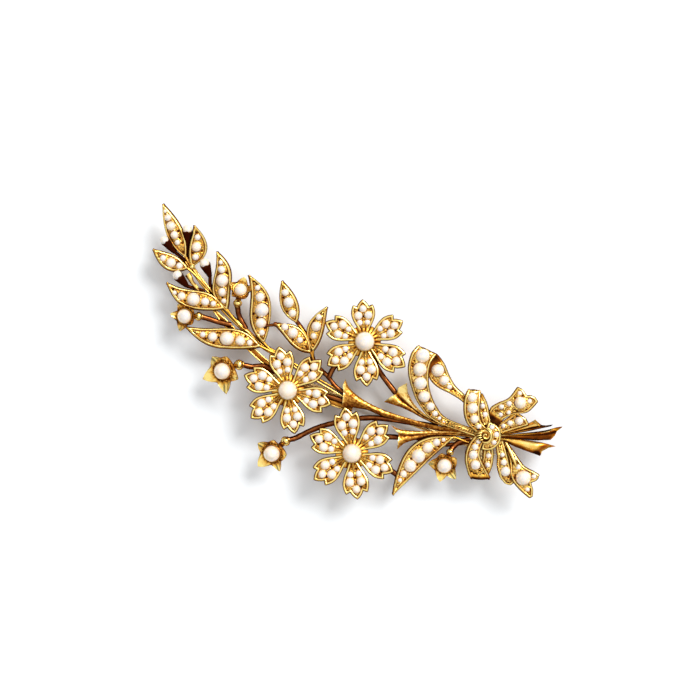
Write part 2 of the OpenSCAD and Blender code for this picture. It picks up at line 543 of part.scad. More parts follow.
module catch_body() {
    color(gold) on_pin_line() difference() {
        union() {
            along_pin(catch_from, catch_from + catch_len, barrel_r);
            translate([catch_from, -0.8, sleeve_r])
                cube([catch_len, 3.6, bracket_top + 0.3 - pin_z - sleeve_r]);
        }
        along_pin(catch_from - 1, catch_from + catch_len + 1, sleeve_r + run);
        translate([catch_from - 1, -mouth / 2, -barrel_r - 1])
            cube([catch_len + 2, mouth, barrel_r + 1]);
        translate([catch_from - 1, barrel_r, sleeve_r - 1])
            cube([catch_len + 2, 3, 1.2]);
    }
}
module catch_sleeve() {
    color(gold) on_pin_line() difference() {
        union() {
            along_pin(catch_from - flange_t - run, catch_from + catch_len + flange_t + run, sleeve_r);
            along_pin(catch_from - flange_t - run, catch_from - run, flange_r);
            along_pin(catch_from + catch_len + run, catch_from + catch_len + run + flange_t, flange_r);
            rotate([-tab_turn, 0, 0])
                translate([catch_from + catch_len + run, -0.35, -tab_reach])
                    cube([flange_t, 0.7, tab_reach - sleeve_r]);
        }
        along_pin(catch_from - 2, catch_from + catch_len + 2, sleeve_bore);
        translate([catch_from - 2, -slot / 2, -3]) cube([catch_len + 4, slot, 3]);
    }
}

// ---- One line draws each node

for (i = [0:10]) leaf(i);
leaf_pearls(0, 6);  // spray_leaf_pearls
leaf_pearls(7, 9);  // sprig_leaf_pearls
leaf_pearls(10, 10);  // long_leaf_pearls
for (i = [0:2]) {
    name = str("flower_", ["a", "b", "c"][i]);
    flower_petals(FLOWERS[i]);
    flower_cup(FLOWERS[i]);
    flower_centre_pearl(FLOWERS[i]);
    flower_petal_pearls(FLOWERS[i]);
}
for (i = [0:4]) bud_cup(BUDS[i]);
bud_pearls();
bud_stalks();
bud_stalk(long_stalk);  // long_bud_stem
berry_cups();
berry_pearls();
spray_wire();
back_wire();
sprig_wire();
flower_stalks();
leaf_bar();
for (i = [0:2]) fishtail(SHEATHS[i]);
for (i = [0:2]) fishtail(STEM_ENDS[i]);
ribbon(LARGE_FRONT);  // bow_large_loop_front
ribbon(LARGE_BACK);  // bow_large_loop_back
union() { ribbon(UPPER_FRONT); ribbon(UPPER_BACK); }  // bow_upper_loop
union() { ribbon(LOWER_FRONT); ribbon(LOWER_BACK); }  // bow_lower_loop
union() { ribbon(UPPER_TAIL); ribbon(UPPER_TAIL_FOLD); }  // bow_upper_tail
union() { ribbon(LOWER_TAIL); ribbon(LOWER_TAIL_FOLD); }  // bow_lower_tail
bow_knot();
bow_pearls();
hinge_bracket();
hinge_rivet();
pin();
catch_body();  // catch
catch_sleeve();
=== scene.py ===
"""Looks for the flower-spray brooch: gold plates set with half pearls, tied with a ribbon bow."""

import math

import bmesh
import bpy
import numpy as np
from mathutils import Matrix, Vector
from mathutils.geometry import delaunay_2d_cdt


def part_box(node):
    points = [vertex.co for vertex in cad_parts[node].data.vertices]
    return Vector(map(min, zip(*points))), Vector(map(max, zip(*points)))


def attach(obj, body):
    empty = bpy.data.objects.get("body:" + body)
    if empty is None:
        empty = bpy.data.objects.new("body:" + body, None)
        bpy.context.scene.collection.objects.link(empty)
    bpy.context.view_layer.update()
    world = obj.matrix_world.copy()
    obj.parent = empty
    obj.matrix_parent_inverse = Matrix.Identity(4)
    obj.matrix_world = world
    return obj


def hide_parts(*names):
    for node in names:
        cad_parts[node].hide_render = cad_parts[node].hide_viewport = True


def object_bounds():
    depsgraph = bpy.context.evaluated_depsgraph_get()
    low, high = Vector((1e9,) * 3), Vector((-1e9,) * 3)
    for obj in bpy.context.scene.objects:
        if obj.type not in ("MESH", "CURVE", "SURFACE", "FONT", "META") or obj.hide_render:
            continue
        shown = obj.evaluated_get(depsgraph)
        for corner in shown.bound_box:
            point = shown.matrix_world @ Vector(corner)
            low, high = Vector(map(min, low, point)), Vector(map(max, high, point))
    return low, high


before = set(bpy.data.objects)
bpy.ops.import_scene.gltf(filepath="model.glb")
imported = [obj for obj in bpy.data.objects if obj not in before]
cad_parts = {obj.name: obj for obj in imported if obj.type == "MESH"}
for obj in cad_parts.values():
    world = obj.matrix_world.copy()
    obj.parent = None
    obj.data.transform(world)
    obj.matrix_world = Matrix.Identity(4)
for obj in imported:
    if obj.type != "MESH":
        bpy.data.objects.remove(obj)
cad_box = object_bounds()

MM = 0.001
rng = np.random.default_rng(11)
UP = np.array([0.0, 0.0, 1.0])

# ---- small vector helpers


def unit(v):
    v = np.asarray(v, float)
    return v / np.maximum(np.linalg.norm(v, axis=-1, keepdims=True), 1e-12)


def curve(rows, steps):
    """Smooth curve through rows of numbers, with a number of steps between two rows."""
    p = np.array(rows, float)
    last = len(p) - 1
    out = []
    for i in range(last):
        a, b, c, d = p[max(i - 1, 0)], p[i], p[i + 1], p[min(i + 2, last)]
        for k in range(steps):
            u = k / steps
            out.append(0.5 * (2 * b + (c - a) * u + (2 * a - 5 * b + 4 * c - d) * u * u
                              + (3 * b - a - 3 * c + d) * u ** 3))
    out.append(p[last])
    return np.array(out)


def turns(n):
    """n angles, evenly round a circle."""
    return 2 * np.pi * np.arange(n) / n


def level_ring(centre, radius, turn, z):
    """Points round an upright axis through centre [x, y]."""
    return np.stack([centre[0] + radius * np.cos(turn), centre[1] + radius * np.sin(turn),
                     np.broadcast_to(z, turn.shape)], 1)


def spokes(turn, side, up):
    """The way out at each angle, turning from side towards up."""
    return np.cos(turn)[:, None] * side + np.sin(turn)[:, None] * up


def smooth_step(x, lo, hi):
    """0 up to lo, 1 from hi, and a smooth rise between them."""
    t = np.clip((x - lo) / (hi - lo), 0, 1)
    return t * t * (3 - 2 * t)


def bump(x, width):
    """1 at zero, and falling away to each side."""
    return np.exp(-((x / width) ** 2))


# ---- pieces


def new_object(name, data):
    obj = bpy.data.objects.new(name, data)
    bpy.context.scene.collection.objects.link(obj)
    return obj


class Piece:
    """Closed shells gathered into one mesh, with a tone at each point that holds patina and painted
    shade.
    """

    def __init__(self):
        self.points, self.faces, self.patina, self.count = [], [], [], 0

    def add(self, points, faces, patina=0.0):
        points = np.asarray(points, float)
        self.points.append(points)
        self.patina.append(np.broadcast_to(np.asarray(patina, float), (len(points),)).copy())
        self.faces.extend([tuple(int(i) + self.count for i in f) for f in faces])
        self.count += len(points)

    def build(self, name, material, body="root", slot="yellow_gold", nodes=(), sharp=38):
        mesh = bpy.data.meshes.new(name)
        points = np.concatenate(self.points) * MM
        mesh.from_pydata(points.tolist(), [], self.faces)
        layer = mesh.attributes.new("patina", "FLOAT", "POINT")
        layer.data.foreach_set("value", np.concatenate(self.patina).astype(np.float32))
        mesh.polygons.foreach_set("use_smooth", np.ones(len(mesh.polygons), bool))
        mesh.set_sharp_from_angle(angle=math.radians(sharp))
        mesh.materials.append(material)
        mesh.update()
        obj = new_object(name, mesh)
        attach(obj, body)
        if nodes:
            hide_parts(*nodes)
        return obj


def add_rings(piece, rings, patina=0.0):
    """A closed shell through rings of the same number of points, with fanned ends."""
    rings = [np.asarray(r, float) for r in rings]
    n, m = len(rings[0]), len(rings)
    points = np.concatenate(rings + [rings[0].mean(0)[None], rings[-1].mean(0)[None]])
    faces = []
    for i in range(m - 1):
        for k in range(n):
            a, b = i * n + k, i * n + (k + 1) % n
            faces.append((a, b, b + n, a + n))
    for k in range(n):
        faces.append((m * n, (k + 1) % n, k))
        faces.append((m * n + 1, (m - 1) * n + k, (m - 1) * n + (k + 1) % n))
    if np.ndim(patina):
        tone = np.broadcast_to(np.asarray(patina).reshape(m, -1), (m, n))
        patina = np.concatenate([tone.ravel(), [tone[0, 0], tone[-1, 0]]])
    piece.add(points, faces, patina)


def ball_template(level):
    bm = bmesh.new()
    bmesh.ops.create_icosphere(bm, subdivisions=level, radius=1)
    points = np.array([v.co[:] for v in bm.verts])
    faces = [tuple(v.index for v in f.verts) for f in bm.faces]
    bm.free()
    return points, faces


COARSE_BALL, MIDDLE_BALL, FINE_BALL = ball_template(1), ball_template(2), ball_template(4)


def axes_from(normal):
    """Two unit vectors across a normal."""
    normal = unit(normal)
    side = unit(np.cross(UP if abs(normal[2]) < 0.9 else [0, 1.0, 0], normal))
    return side, np.cross(normal, side)


def add_bead(piece, centre, radius, patina=0.0, template=MIDDLE_BALL):
    piece.add(np.asarray(centre) + template[0] * radius, template[1], patina)


def add_tube(piece, rows, sides=14, steps=6, patina=0.15, wobble=0.0):
    """A wire through rows [x, y, z, half width, half height], with painted shade along its sides.
    """
    s = curve(rows, steps)
    path = s[:, :3]
    along = unit(np.gradient(path, axis=0))
    side = unit(np.cross(UP, along))
    up = np.cross(along, side)
    turn = 2 * np.pi * (np.arange(sides) + 0.5) / sides
    phase = rng.uniform(0, 6.3, 3)      # the third keeps later draws in step
    rings = []
    for i in range(len(s)):
        lump = 1 + wobble * math.sin(1.9 * i + phase[0]) + wobble * math.sin(0.7 * i + phase[1])
        rings.append(path[i] + lump * (side[i] * (s[i, 3] * np.cos(turn))[:, None]
                                       + up[i] * (s[i, 4] * np.sin(turn))[:, None]))
    # Painted shade along the sides, none on the top or underneath
    low = (0.8 * smooth_step(1 - np.sin(turn), 0.1, 0.6)
           * (1 - smooth_step(-np.sin(turn), 0.5, 0.9)))
    add_rings(piece, rings, np.broadcast_to(patina + low, (len(s), sides)))


# ---- plates in a flat domain


def resample(loop, step):
    """Points along a closed outline, keeping its corners."""
    out = []
    for a, b in zip(loop, np.roll(loop, -1, axis=0)):
        n = max(1, int(math.ceil(np.linalg.norm(b - a) / step)))
        out.extend(a + (b - a) * k / n for k in range(n))
    return np.array(out)


def line_distance(points, a, b):
    """Distance from points to the line from a to b."""
    ab = b - a
    t = np.clip(((points - a) @ ab) / max(ab @ ab, 1e-12), 0, 1)
    return np.linalg.norm(points - a - t[:, None] * ab, axis=1)


def edge_distance(points, loop):
    """Distance from points to a closed outline."""
    best = np.full(len(points), 1e9)
    for a, b in zip(loop, np.roll(loop, -1, axis=0)):
        best = np.minimum(best, line_distance(points, a, b))
    return best


def clearance(points, centres, radii):
    """Distance from each point to each pearl's edge, with a column for each pearl."""
    return np.linalg.norm(points[:, None] - centres[None], axis=2) - radii


def unit_circle(angles):
    return np.stack([np.cos(angles), np.sin(angles)], 1)


def inside(points, loop):
    x, y = points[:, 0], points[:, 1]
    odd = np.zeros(len(points), bool)
    for (ax, ay), (bx, by) in zip(loop, np.roll(loop, -1, axis=0)):
        if ay != by:
            odd ^= ((ay > y) != (by > y)) & (x < (bx - ax) * (y - ay) / (by - ay) + ax)
    return odd


def inward_normals(loop):
    """Unit normals at an anticlockwise outline's points, towards its inside."""
    along = unit(np.roll(loop, -1, axis=0) - np.roll(loop, 1, axis=0))
    return np.stack([-along[:, 1], along[:, 0]], 1)


def hex_grid(loop, step):
    lo, hi = loop.min(0), loop.max(0)
    rows = []
    for j, y in enumerate(np.arange(lo[1], hi[1], step * 0.87)):
        x = np.arange(lo[0] + (j % 2) * step / 2, hi[0], step)
        rows.append(np.stack([x, np.full(len(x), y)], 1))
    return np.concatenate(rows)


def triangulate(loop, inner):
    """Triangles that fill an outline and use the inner points, and the outline's point numbers."""
    given = np.concatenate([loop, inner])
    made = delaunay_2d_cdt([Vector(p) for p in given], [], [list(range(len(loop)))], 1, 1e-6)
    points, faces = np.array([v[:] for v in made[0]]), made[2]
    ids = [0] * len(loop)
    for i, given_as in enumerate(made[3]):
        for k in given_as:
            points[i] = given[k]
            if k < len(loop):
                ids[k] = i
    out = []
    for f in faces:
        a, b, c = points[f[0]], points[f[1]], points[f[2]]
        area = (b[0] - a[0]) * (c[1] - a[1]) - (b[1] - a[1]) * (c[0] - a[0])
        out.append(tuple(f) if area > 0 else tuple(reversed(f)))
    return points, out, ids


RIM_HEIGHT = 0.13
RIM_ROWS = (0.035, 0.08, 0.15, 0.22, 0.275, 0.33)
BED_TONE = 0.29
WALL_FLARE = 0.14
FINE, ROUGH = 0.13, 0.42
# Smallest and largest radius of a grain or pit, and which of each four in turn is a pit
SPOT_RADII = (0.07, 0.16)
PIT_TURN = 2


def add_plate(piece, loop, place, thick, pearls, ridges=(), edge=None, plain=None,
              bed_tone=BED_TONE):
    """A gold plate with a raised rim, collets round its pearls, and grains and pits between them.

    loop is the outline in the flat domain, anticlockwise; place(points, heights) gives places in
    mm; pearls are [s, t, radius]; ridges are [from, to, height, width]. edge is the outline that
    the rim follows, where the plate itself goes on past it. plain(points) is 1 where the plate is
    left smooth, with the painted shade it gives second.
    """
    loop = resample(np.asarray(loop, float), FINE)
    edge = loop if edge is None else np.asarray(edge, float)
    inner = []
    normals = inward_normals(loop)
    for d in RIM_ROWS:
        row = loop + normals * d
        inner.append(row[(edge_distance(row, loop) > d * 0.93) & inside(row, loop)])
    grid = hex_grid(loop, FINE)
    grid = grid[inside(grid, loop)]
    grid = grid[edge_distance(grid, loop) > RIM_ROWS[-1] + 0.05]
    centres = np.array([p[:2] for p in pearls]).reshape(-1, 2)
    radii = np.array([p[2] for p in pearls])
    if len(pearls):
        open_grid = grid[clearance(grid, centres, radii).min(1) > 0.2]
        inner.append(open_grid)
        for c, r in zip(centres, radii):
            for more in (-0.08, 0.0, 0.05, 0.1, 0.16):
                n = max(12, int(2 * np.pi * (r + more) / 0.11))
                a = 2 * np.pi * (np.arange(n) + 0.5 * (more > 0.02)) / n
                ring = c + (r + more) * unit_circle(a)
                ring = ring[inside(ring, loop)]
                far = clearance(ring, centres, radii).min(1)
                keep = (edge_distance(ring, loop) > 0.3) & (far > more - 0.03)
                inner.append(ring[keep])
            inner.append(c[None])
    else:
        open_grid = grid
        inner.append(grid)
    # Grains and drilled pits, each as large as its gap between pearls and rim allows
    spots = []
    if len(open_grid):
        room = edge_distance(open_grid, loop) - RIM_ROWS[-1]
        if plain:
            room -= plain(open_grid)[0]
        if len(pearls):
            room = np.minimum(room, clearance(open_grid, centres, radii).min(1) - 0.03)
        for i in np.argsort(-room):
            r = min(room[i], SPOT_RADII[1])
            if r < SPOT_RADII[0]:
                break
            if all(np.linalg.norm(open_grid[i] - q) > r + w + 0.02 for q, w in spots):
                spots.append((open_grid[i], r))
    pits = [s for k, s in enumerate(spots) if k % 4 == PIT_TURN]
    beads = [s for k, s in enumerate(spots) if k % 4 != PIT_TURN]
    points, faces, rim_ids = triangulate(loop, np.concatenate(inner))
    d = edge_distance(points, edge)
    still, own = plain(points) if plain else (np.zeros(len(points)), 0)
    h = RIM_HEIGHT * np.sin(np.pi * np.clip((d + 0.03) / 0.33, 0, 1)) ** 0.7
    h -= 0.05 * bump(d - 0.31, 0.05) * (1 - still)
    h -= 0.02 * smooth_step(d, 0.0, 0.04)
    patina = (0.38 * bump(d - 0.31, 0.06) + bed_tone * smooth_step(d, 0.24, 0.33)) * (1 - still)
    if len(pearls):
        away = clearance(points, centres, radii)
        near = away.min(1)
        which = away.argmin(1)
        angle = np.arctan2(*(points - centres[which]).T[::-1])
        prongs = 0.6 + 0.4 * np.cos(angle * np.round(radii[which] * 14) + which)
        bed = smooth_step(d, 0.22, 0.3)
        h += bed * (0.1 * prongs * bump(near - 0.07, 0.05)
                    - 0.12 * (1 - smooth_step(near, -0.08, 0)))
        patina += bed * (0.5 * bump(near, 0.04) - 0.35 * prongs * bump(near - 0.08, 0.05))
    for a, b, height, width in ridges:
        off = line_distance(points, np.array(a, float), np.array(b, float))
        h += height * bump(off, width)
        patina -= 0.3 * bump(off, width)
        patina += 0.5 * (bump(off - 2.0 * width, width * 0.7))
    for c, r in pits:
        off = np.linalg.norm(points - c, axis=1)
        h -= 0.22 * bump(off, r * 0.9)
        patina += 1.2 * bump(off, r * 0.9)
    patina += own
    top = place(points, h)
    # Walls flare a little towards the back, so they show round the bright rim, painted dark as
    # shade
    n = len(loop)
    out = -inward_normals(loop)
    shells, values = [top], [np.clip(patina, 0, 1)]
    for move, depth, dark in ((0.03, 0.08, 0.6), (0.07, thick * 0.4, 1.0),
                              (WALL_FLARE, thick * 0.8, 1.0), (0.04, thick, 1.0)):
        shells.append(place(loop + out * move, np.full(n, -depth)))
        values.append(np.full(n, dark))
    base = len(points)
    for k in range(n):
        j = (k + 1) % n
        faces.append((rim_ids[k], base + k, base + j, rim_ids[j]))
        for w in range(3):
            a = base + w * n
            faces.append((a + k, a + n + k, a + n + j, a + j))
    # Back: hollowed a little behind each pearl
    rough = hex_grid(loop, ROUGH)
    rough = rough[inside(rough, loop)]
    rough = rough[edge_distance(rough, loop) > 0.25]
    if len(pearls):
        for c, r in zip(centres, radii):
            rough = rough[np.linalg.norm(rough - c, axis=1) > r * 0.85]
            for part, count in ((0.32, 6), (0.62, 10), (0.8, 12)):
                ring = c + r * part * unit_circle(turns(count))
                rough = np.concatenate([rough, ring[edge_distance(ring, loop) > 0.15]])
            rough = np.concatenate([rough, c[None]])
        rough = rough[inside(rough, loop)]
    under, under_faces, under_ids = triangulate(loop, rough)
    depth = np.full(len(under), -thick)
    value = np.full(len(under), 0.25)
    for c, r in zip(centres, radii):
        off = np.linalg.norm(under - c, axis=1)
        dish = 1 - smooth_step(off, r * 0.5, r * 0.85)
        depth += 0.1 * dish
        value += 0.35 * dish
    ids = {i: k for k, i in enumerate(under_ids)}
    base_under = base + 4 * n
    remap, extra = {}, []
    for i in range(len(under)):
        if i in ids:
            remap[i] = base + 3 * n + ids[i]
        else:
            remap[i] = base_under + len(extra)
            extra.append(i)
    shells.append(place(under[extra], depth[extra]))
    values.append(value[extra])
    faces.extend(tuple(remap[i] for i in reversed(f)) for f in under_faces)
    piece.add(np.concatenate(shells), faces, np.concatenate(values))
    if beads:
        spots_at = np.array([b[0] for b in beads])
        bead_r = np.array([b[1] for b in beads]) * rng.uniform(0.8, 1.0, len(beads))
        for p, r in zip(place(spots_at, np.full(len(beads), 0.02)), bead_r):
            add_bead(piece, p, r, 0.0, COARSE_BALL)


# ---- pearls read from the CAD


def solids(node):
    """The points of each separate solid of a CAD node, in mm."""
    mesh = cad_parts[node].data
    co = np.array([v.co[:] for v in mesh.vertices]) / MM
    keys, index = {}, np.zeros(len(co), int)
    for i, p in enumerate(np.round(co, 3)):
        index[i] = keys.setdefault(tuple(p), len(keys))
    parent = list(range(len(keys)))

    def root(i):
        while parent[i] != i:
            parent[i] = parent[parent[i]]
            i = parent[i]
        return i

    for poly in mesh.polygons:
        ids = [root(index[v]) for v in poly.vertices]
        for j in ids[1:]:
            parent[root(j)] = root(ids[0])
    groups = {}
    for k, i in keys.items():
        groups.setdefault(root(i), []).append(k)
    return [np.array(g) for g in groups.values()]


def fitted_ball(points):
    """Centre and radius of the ball that points lie on, and the way they lean from it."""
    a = np.concatenate([2 * points, np.ones((len(points), 1))], 1)
    fit = np.linalg.lstsq(a, (points ** 2).sum(1), rcond=None)[0]
    centre = fit[:3]
    radius = math.sqrt(fit[3] + centre @ centre)
    return centre, radius, unit(points.mean(0) - centre)


def balls(node):
    return [fitted_ball(g) for g in solids(node)]


LEAST_FINE_PEARL = 0.45
SEATED_DEPTH = 0.12


def add_pearl(piece, centre, radius, normal, half=True):
    """A seed pearl, slightly out of round. A half pearl is flattened under its seat."""
    ball, faces = FINE_BALL if radius > LEAST_FINE_PEARL else MIDDLE_BALL
    p = ball.copy()
    waves = rng.normal(size=(4, 3))
    lump = sum(np.sin(p @ w * 2.2 + k) for k, w in enumerate(waves)) * 0.007
    p *= (1 + lump)[:, None]
    p *= np.array([1 + rng.uniform(-0.03, 0.03), 1 + rng.uniform(-0.03, 0.03), 1])
    below = SEATED_DEPTH / radius if half else 1
    p[:, 2] = np.where(p[:, 2] < 0, p[:, 2] * below, p[:, 2] * 0.97)
    side, up = axes_from(normal)
    turn = rng.uniform(0, 6.28)
    c, s = math.cos(turn), math.sin(turn)
    world = (centre + radius * (p[:, :1] * (side * c + up * s) + p[:, 1:2] * (up * c - side * s)
                                + p[:, 2:3] * unit(normal)))
    # Its tone runs from the crown to the foot, with a random part for each pearl: painted
    # reflection and shade, greyer at the crown and warm from the gold towards the foot
    piece.add(world, faces, 0.2 * rng.uniform(0, 1) + 0.8 * np.clip(1 - p[:, 2], 0, 1) ** 0.5)


# ---- materials


def nodes_for(name):
    mat = bpy.data.materials.new(name)
    mat.use_nodes = True
    tree = mat.node_tree
    return mat, tree, tree.nodes["Principled BSDF"]


def set_inputs(node, values):
    for name, value in values.items():
        node.inputs[name].default_value = value


def math_node(tree, op, a, b):
    node = tree.nodes.new("ShaderNodeMath")
    node.operation = op
    for k, v in enumerate((a, b)):
        if isinstance(v, (int, float)):
            node.inputs[k].default_value = v
        else:
            tree.links.new(v, node.inputs[k])
    return node.outputs[0]


NOISE_ROUGHNESS = 0.55


def noise_node(tree, scale, detail, stretch=None):
    coord = tree.nodes.new("ShaderNodeTexCoord")
    node = tree.nodes.new("ShaderNodeTexNoise")
    set_inputs(node, {"Scale": scale, "Detail": detail, "Roughness": NOISE_ROUGHNESS})
    source = coord.outputs["Object"]
    if stretch:
        mapping = tree.nodes.new("ShaderNodeMapping")
        mapping.inputs["Scale"].default_value = stretch
        tree.links.new(source, mapping.inputs["Vector"])
        source = mapping.outputs[0]
    tree.links.new(source, node.inputs["Vector"])
    return node.outputs["Fac"]


def range_node(tree, value, lo, hi, to_lo, to_hi):
    node = tree.nodes.new("ShaderNodeMapRange")
    node.clamp = True
    tree.links.new(value, node.inputs[0])
    for k, v in enumerate((lo, hi, to_lo, to_hi)):
        node.inputs[k + 1].default_value = v
    return node.outputs[0]


def ramp_node(tree, value, stops):
    node = tree.nodes.new("ShaderNodeValToRGB")
    while len(node.color_ramp.elements) < len(stops):
        node.color_ramp.elements.new(0.5)
    for element, (place_at, colour) in zip(node.color_ramp.elements, stops):
        element.position = place_at
        element.color = (*colour, 1)
    tree.links.new(value, node.inputs[0])
    return node.outputs[0]


def patina_node(tree):
    # The mesh's tone: patina, and painted shade on walls, undersides and sides facing away from the
    # light
    node = tree.nodes.new("ShaderNodeAttribute")
    node.attribute_name = "patina"
    return node.outputs["Fac"]


def add_relief(tree, shader, height, strength, depth):
    """Bumps in the shading, of a depth in mm."""
    relief = tree.nodes.new("ShaderNodeBump")
    set_inputs(relief, {"Strength": strength, "Distance": depth * MM})
    tree.links.new(height, relief.inputs["Height"])
    tree.links.new(relief.outputs[0], shader.inputs["Normal"])


def gold_material(name, bright, mid, deep, rough, brushed=None, tarnish=0.0, beaten=0.0):
    """Gold that turns brown with its mesh's tone, which holds patina and painted shade, with
    painted shade in its recesses from ambient occlusion, and fine wear.
    """
    mat, tree, shader = nodes_for(name)
    mesh_tone_and_shade = patina_node(tree)
    # Painted shade: ambient occlusion darkens the colour in recesses and between parts
    hidden = tree.nodes.new("ShaderNodeAmbientOcclusion")
    hidden.samples = 6
    hidden.inputs["Distance"].default_value = 0.7 * MM
    shade = range_node(tree, hidden.outputs["AO"], 0.2, 0.8, 0.85, 0.0)
    blotch = noise_node(tree, 850, 4)
    wear = range_node(tree, blotch, 0.35, 0.7, -0.12, 0.16)
    if beaten:
        dents = noise_node(tree, 2600, 2)
        wear = math_node(tree, "ADD", wear, range_node(tree, dents, 0.4, 0.62, -0.1, 0.25))
    total = math_node(tree, "ADD", math_node(tree, "ADD", mesh_tone_and_shade, shade), wear)
    total = math_node(tree, "ADD", total, tarnish)
    total = range_node(tree, total, 0, 1.1, 0, 1)
    # The ramp runs from bright gold to near black; its darker stops show painted shade as well as
    # patina
    dark_brown = tuple(0.32 * m * k for m, k in zip(mid, (1.0, 0.5, 0.35)))
    colour = ramp_node(tree, total, [(0.0, bright), (0.33, mid), (0.66, dark_brown), (1.0, deep)])
    tree.links.new(colour, shader.inputs["Base Color"])
    tree.links.new(colour, shader.inputs["Specular Tint"])
    # Where it is painted dark, by painted shade and by patina, it is not metal
    tree.links.new(range_node(tree, total, 0.5, 0.85, 1.0, 0.0), shader.inputs["Metallic"])
    shader.inputs["Specular IOR Level"].default_value = 0.0
    grain = noise_node(tree, 5200, 2)
    rubbed = range_node(tree, noise_node(tree, 2300, 3), 0.3, 0.7, rough * 0.75, rough * 1.35)
    tree.links.new(math_node(tree, "ADD", rubbed, math_node(tree, "MULTIPLY", total, 0.22)),
                   shader.inputs["Roughness"])
    height = math_node(tree, "ADD", math_node(tree, "MULTIPLY", grain, 0.3), blotch)
    if beaten:
        height = math_node(tree, "SUBTRACT", height, math_node(tree, "MULTIPLY", dents, beaten))
    if brushed:
        height = math_node(tree, "ADD", height, noise_node(tree, 900, 2, brushed))
    add_relief(tree, shader, height, 0.35, 0.06)
    return mat


def pearl_material():
    mat, tree, shader = nodes_for("seed_pearl")
    painted_reflection_tone = patina_node(tree)
    cloud = noise_node(tree, 1600, 3)
    mixed = math_node(tree, "ADD", painted_reflection_tone, range_node(tree, cloud, 0.35, 0.65, -0.2, 0.25))
    # Painted reflection and shade: grey at the crown, warm from the gold towards the foot, clouded
    # at random
    colour = ramp_node(tree, mixed, [
        (0.05, (0.67, 0.66, 0.67)), (0.3, (0.81, 0.75, 0.70)), (0.5, (0.94, 0.81, 0.67)),
        (0.68, (0.95, 0.78, 0.60)), (0.95, (0.90, 0.66, 0.46))])
    tree.links.new(colour, shader.inputs["Base Color"])
    tree.links.new(range_node(tree, cloud, 0.3, 0.7, 0.16, 0.3), shader.inputs["Roughness"])
    set_inputs(shader, {"Specular IOR Level": 1.0, "Coat Weight": 1.0, "Coat Roughness": 0.14,
                        "Subsurface Weight": 0.4, "Subsurface Radius": (1.0, 0.75, 0.5),
                        "Subsurface Scale": 0.35 * MM})
    add_relief(tree, shader, noise_node(tree, 2600, 2), 0.12, 0.03)
    return mat


# DEEP, nearly black, is the colour of the strongest painted shade: walls, undersides and hollows
BRIGHT, MID, DEEP = (1.0, 0.79, 0.27), (0.88, 0.45, 0.06), (0.02, 0.005, 0.002)
GOLD = gold_material("engraved_gold", BRIGHT, MID, DEEP, 0.22, tarnish=0.03)
PLAIN = gold_material("polished_gold", BRIGHT, MID, DEEP, 0.2, (0.2, 1, 1))
HAMMERED = gold_material("hammered_gold", (0.96, 0.74, 0.27), (0.72, 0.35, 0.055), DEEP, 0.26,
                         beaten=4.0)
STEM = gold_material("stem_gold", (0.36, 0.125, 0.03), (0.15, 0.036, 0.009), DEEP, 0.24,
                     (0.15, 1, 1), 0.06)
FINDING = gold_material("pin_gold", (0.94, 0.70, 0.31), (0.78, 0.46, 0.14), DEEP, 0.22, (0.1, 1, 1))
PEARL = pearl_material()

# ---- leaves

SPRAY_WIRE = [(-28.4, 6.5, 3.5), (-25.0, 5.0, 3.4), (-22.5, 4.1, 3.3), (-19.5, 2.9, 3.3),
              (-16.0, 2.0, 3.3), (-12.0, 1.1, 3.3), (-8.0, 0.9, 3.3), (-2.0, 0.6, 3.3),
              (4.0, 0.7, 3.4)]
BACK_WIRE = [(-27.0, 4.6, 3.4), (-20.5, 1.9, 3.3), (-18.0, 1.1, 3.3), (-13.0, -0.3, 3.3),
             (-9.5, -1.0, 3.3), (-4.0, -1.4, 3.3), (1.0, -1.3, 3.3), (5.2, -0.5, 3.4)]
SPRIG_WIRE = [(-9.4, 7.1, 3.9), (-7.0, 6.0, 3.6), (-5.0, 4.4, 3.5), (-3.8, 3.1, 3.4),
              (-2.2, 2.4, 3.4), (-0.4, 1.9, 3.4), (1.4, 1.2, 3.4), (4.0, 1.1, 3.4)]
LEAF_BAR = [(15.4, 0.5, 3.5), (17.8, 0.9, 3.4), (20.0, 1.7, 3.4), (22.0, 3.0, 3.4),
            (24.2, 4.9, 3.5)]
CROWN = 0.18
SEAT = CROWN - 0.25
LEAF_THICK, PETAL_THICK, RIBBON_THICK = 0.62, 0.6, 0.4
FIRST_SPRIG_LEAF, LONG_LEAF = 7, 10
LONG_LEAF_TONE, PETAL_TONE, RIBBON_TONE = 0.06, 0.36, 0.08
# How much larger than in the CAD the half pearls stand, so that they crowd as they should
LEAF_GROW, PETAL_GROW, BOW_GROW = 1.08, 1.28, 1.1
# A leaf: tip, base, width, bow, sway, tip height, base height, roll
LEAVES = [
    [(-35.8, 12.2), (-28.8, 7.0), 2.45, 0.1, 0, 4.9, 4.1, -8],
    [(-29.9, 11.8), (-27.2, 6.2), 2.65, -0.75, 0, 4.9, 4.1, 8],
    [(-33.6, 5.5), (-27.7, 5.6), 2.3, 0.45, 0, 4.7, 4.1, 6],
    [(-24.9, 10.0), (-19.3, 3.2), 2.8, 0, 0.4, 5.0, 4.1, -6],
    [(-29.2, 2.1), (-19.8, 3.1), 2.9, 0.65, -0.35, 4.8, 4.1, 6],
    [(-18.8, 9.4), (-11.8, 1.6), 3.2, -0.65, 0.35, 5.1, 4.1, 8],
    [(-23.2, -2.3), (-12.0, 0.8), 3.1, 0.2, -0.35, 4.9, 4.1, 6],
    [(-14.0, 11.1), (-9.0, 6.8), 2.5, 0.15, 0, 4.8, 4.1, -6],
    [(-11.6, 4.9), (-4.8, 3.9), 2.6, -0.55, 0.1, 4.7, 4.1, 6],
    [(-6.1, 11.1), (-4.6, 4.3), 2.4, 0.65, 0, 4.3, 4.0, -4],
    [(17.2, -8.7), (20.8, 3.5), 3.3, -1.65, -0.15, 5.0, 4.3, -5],
]


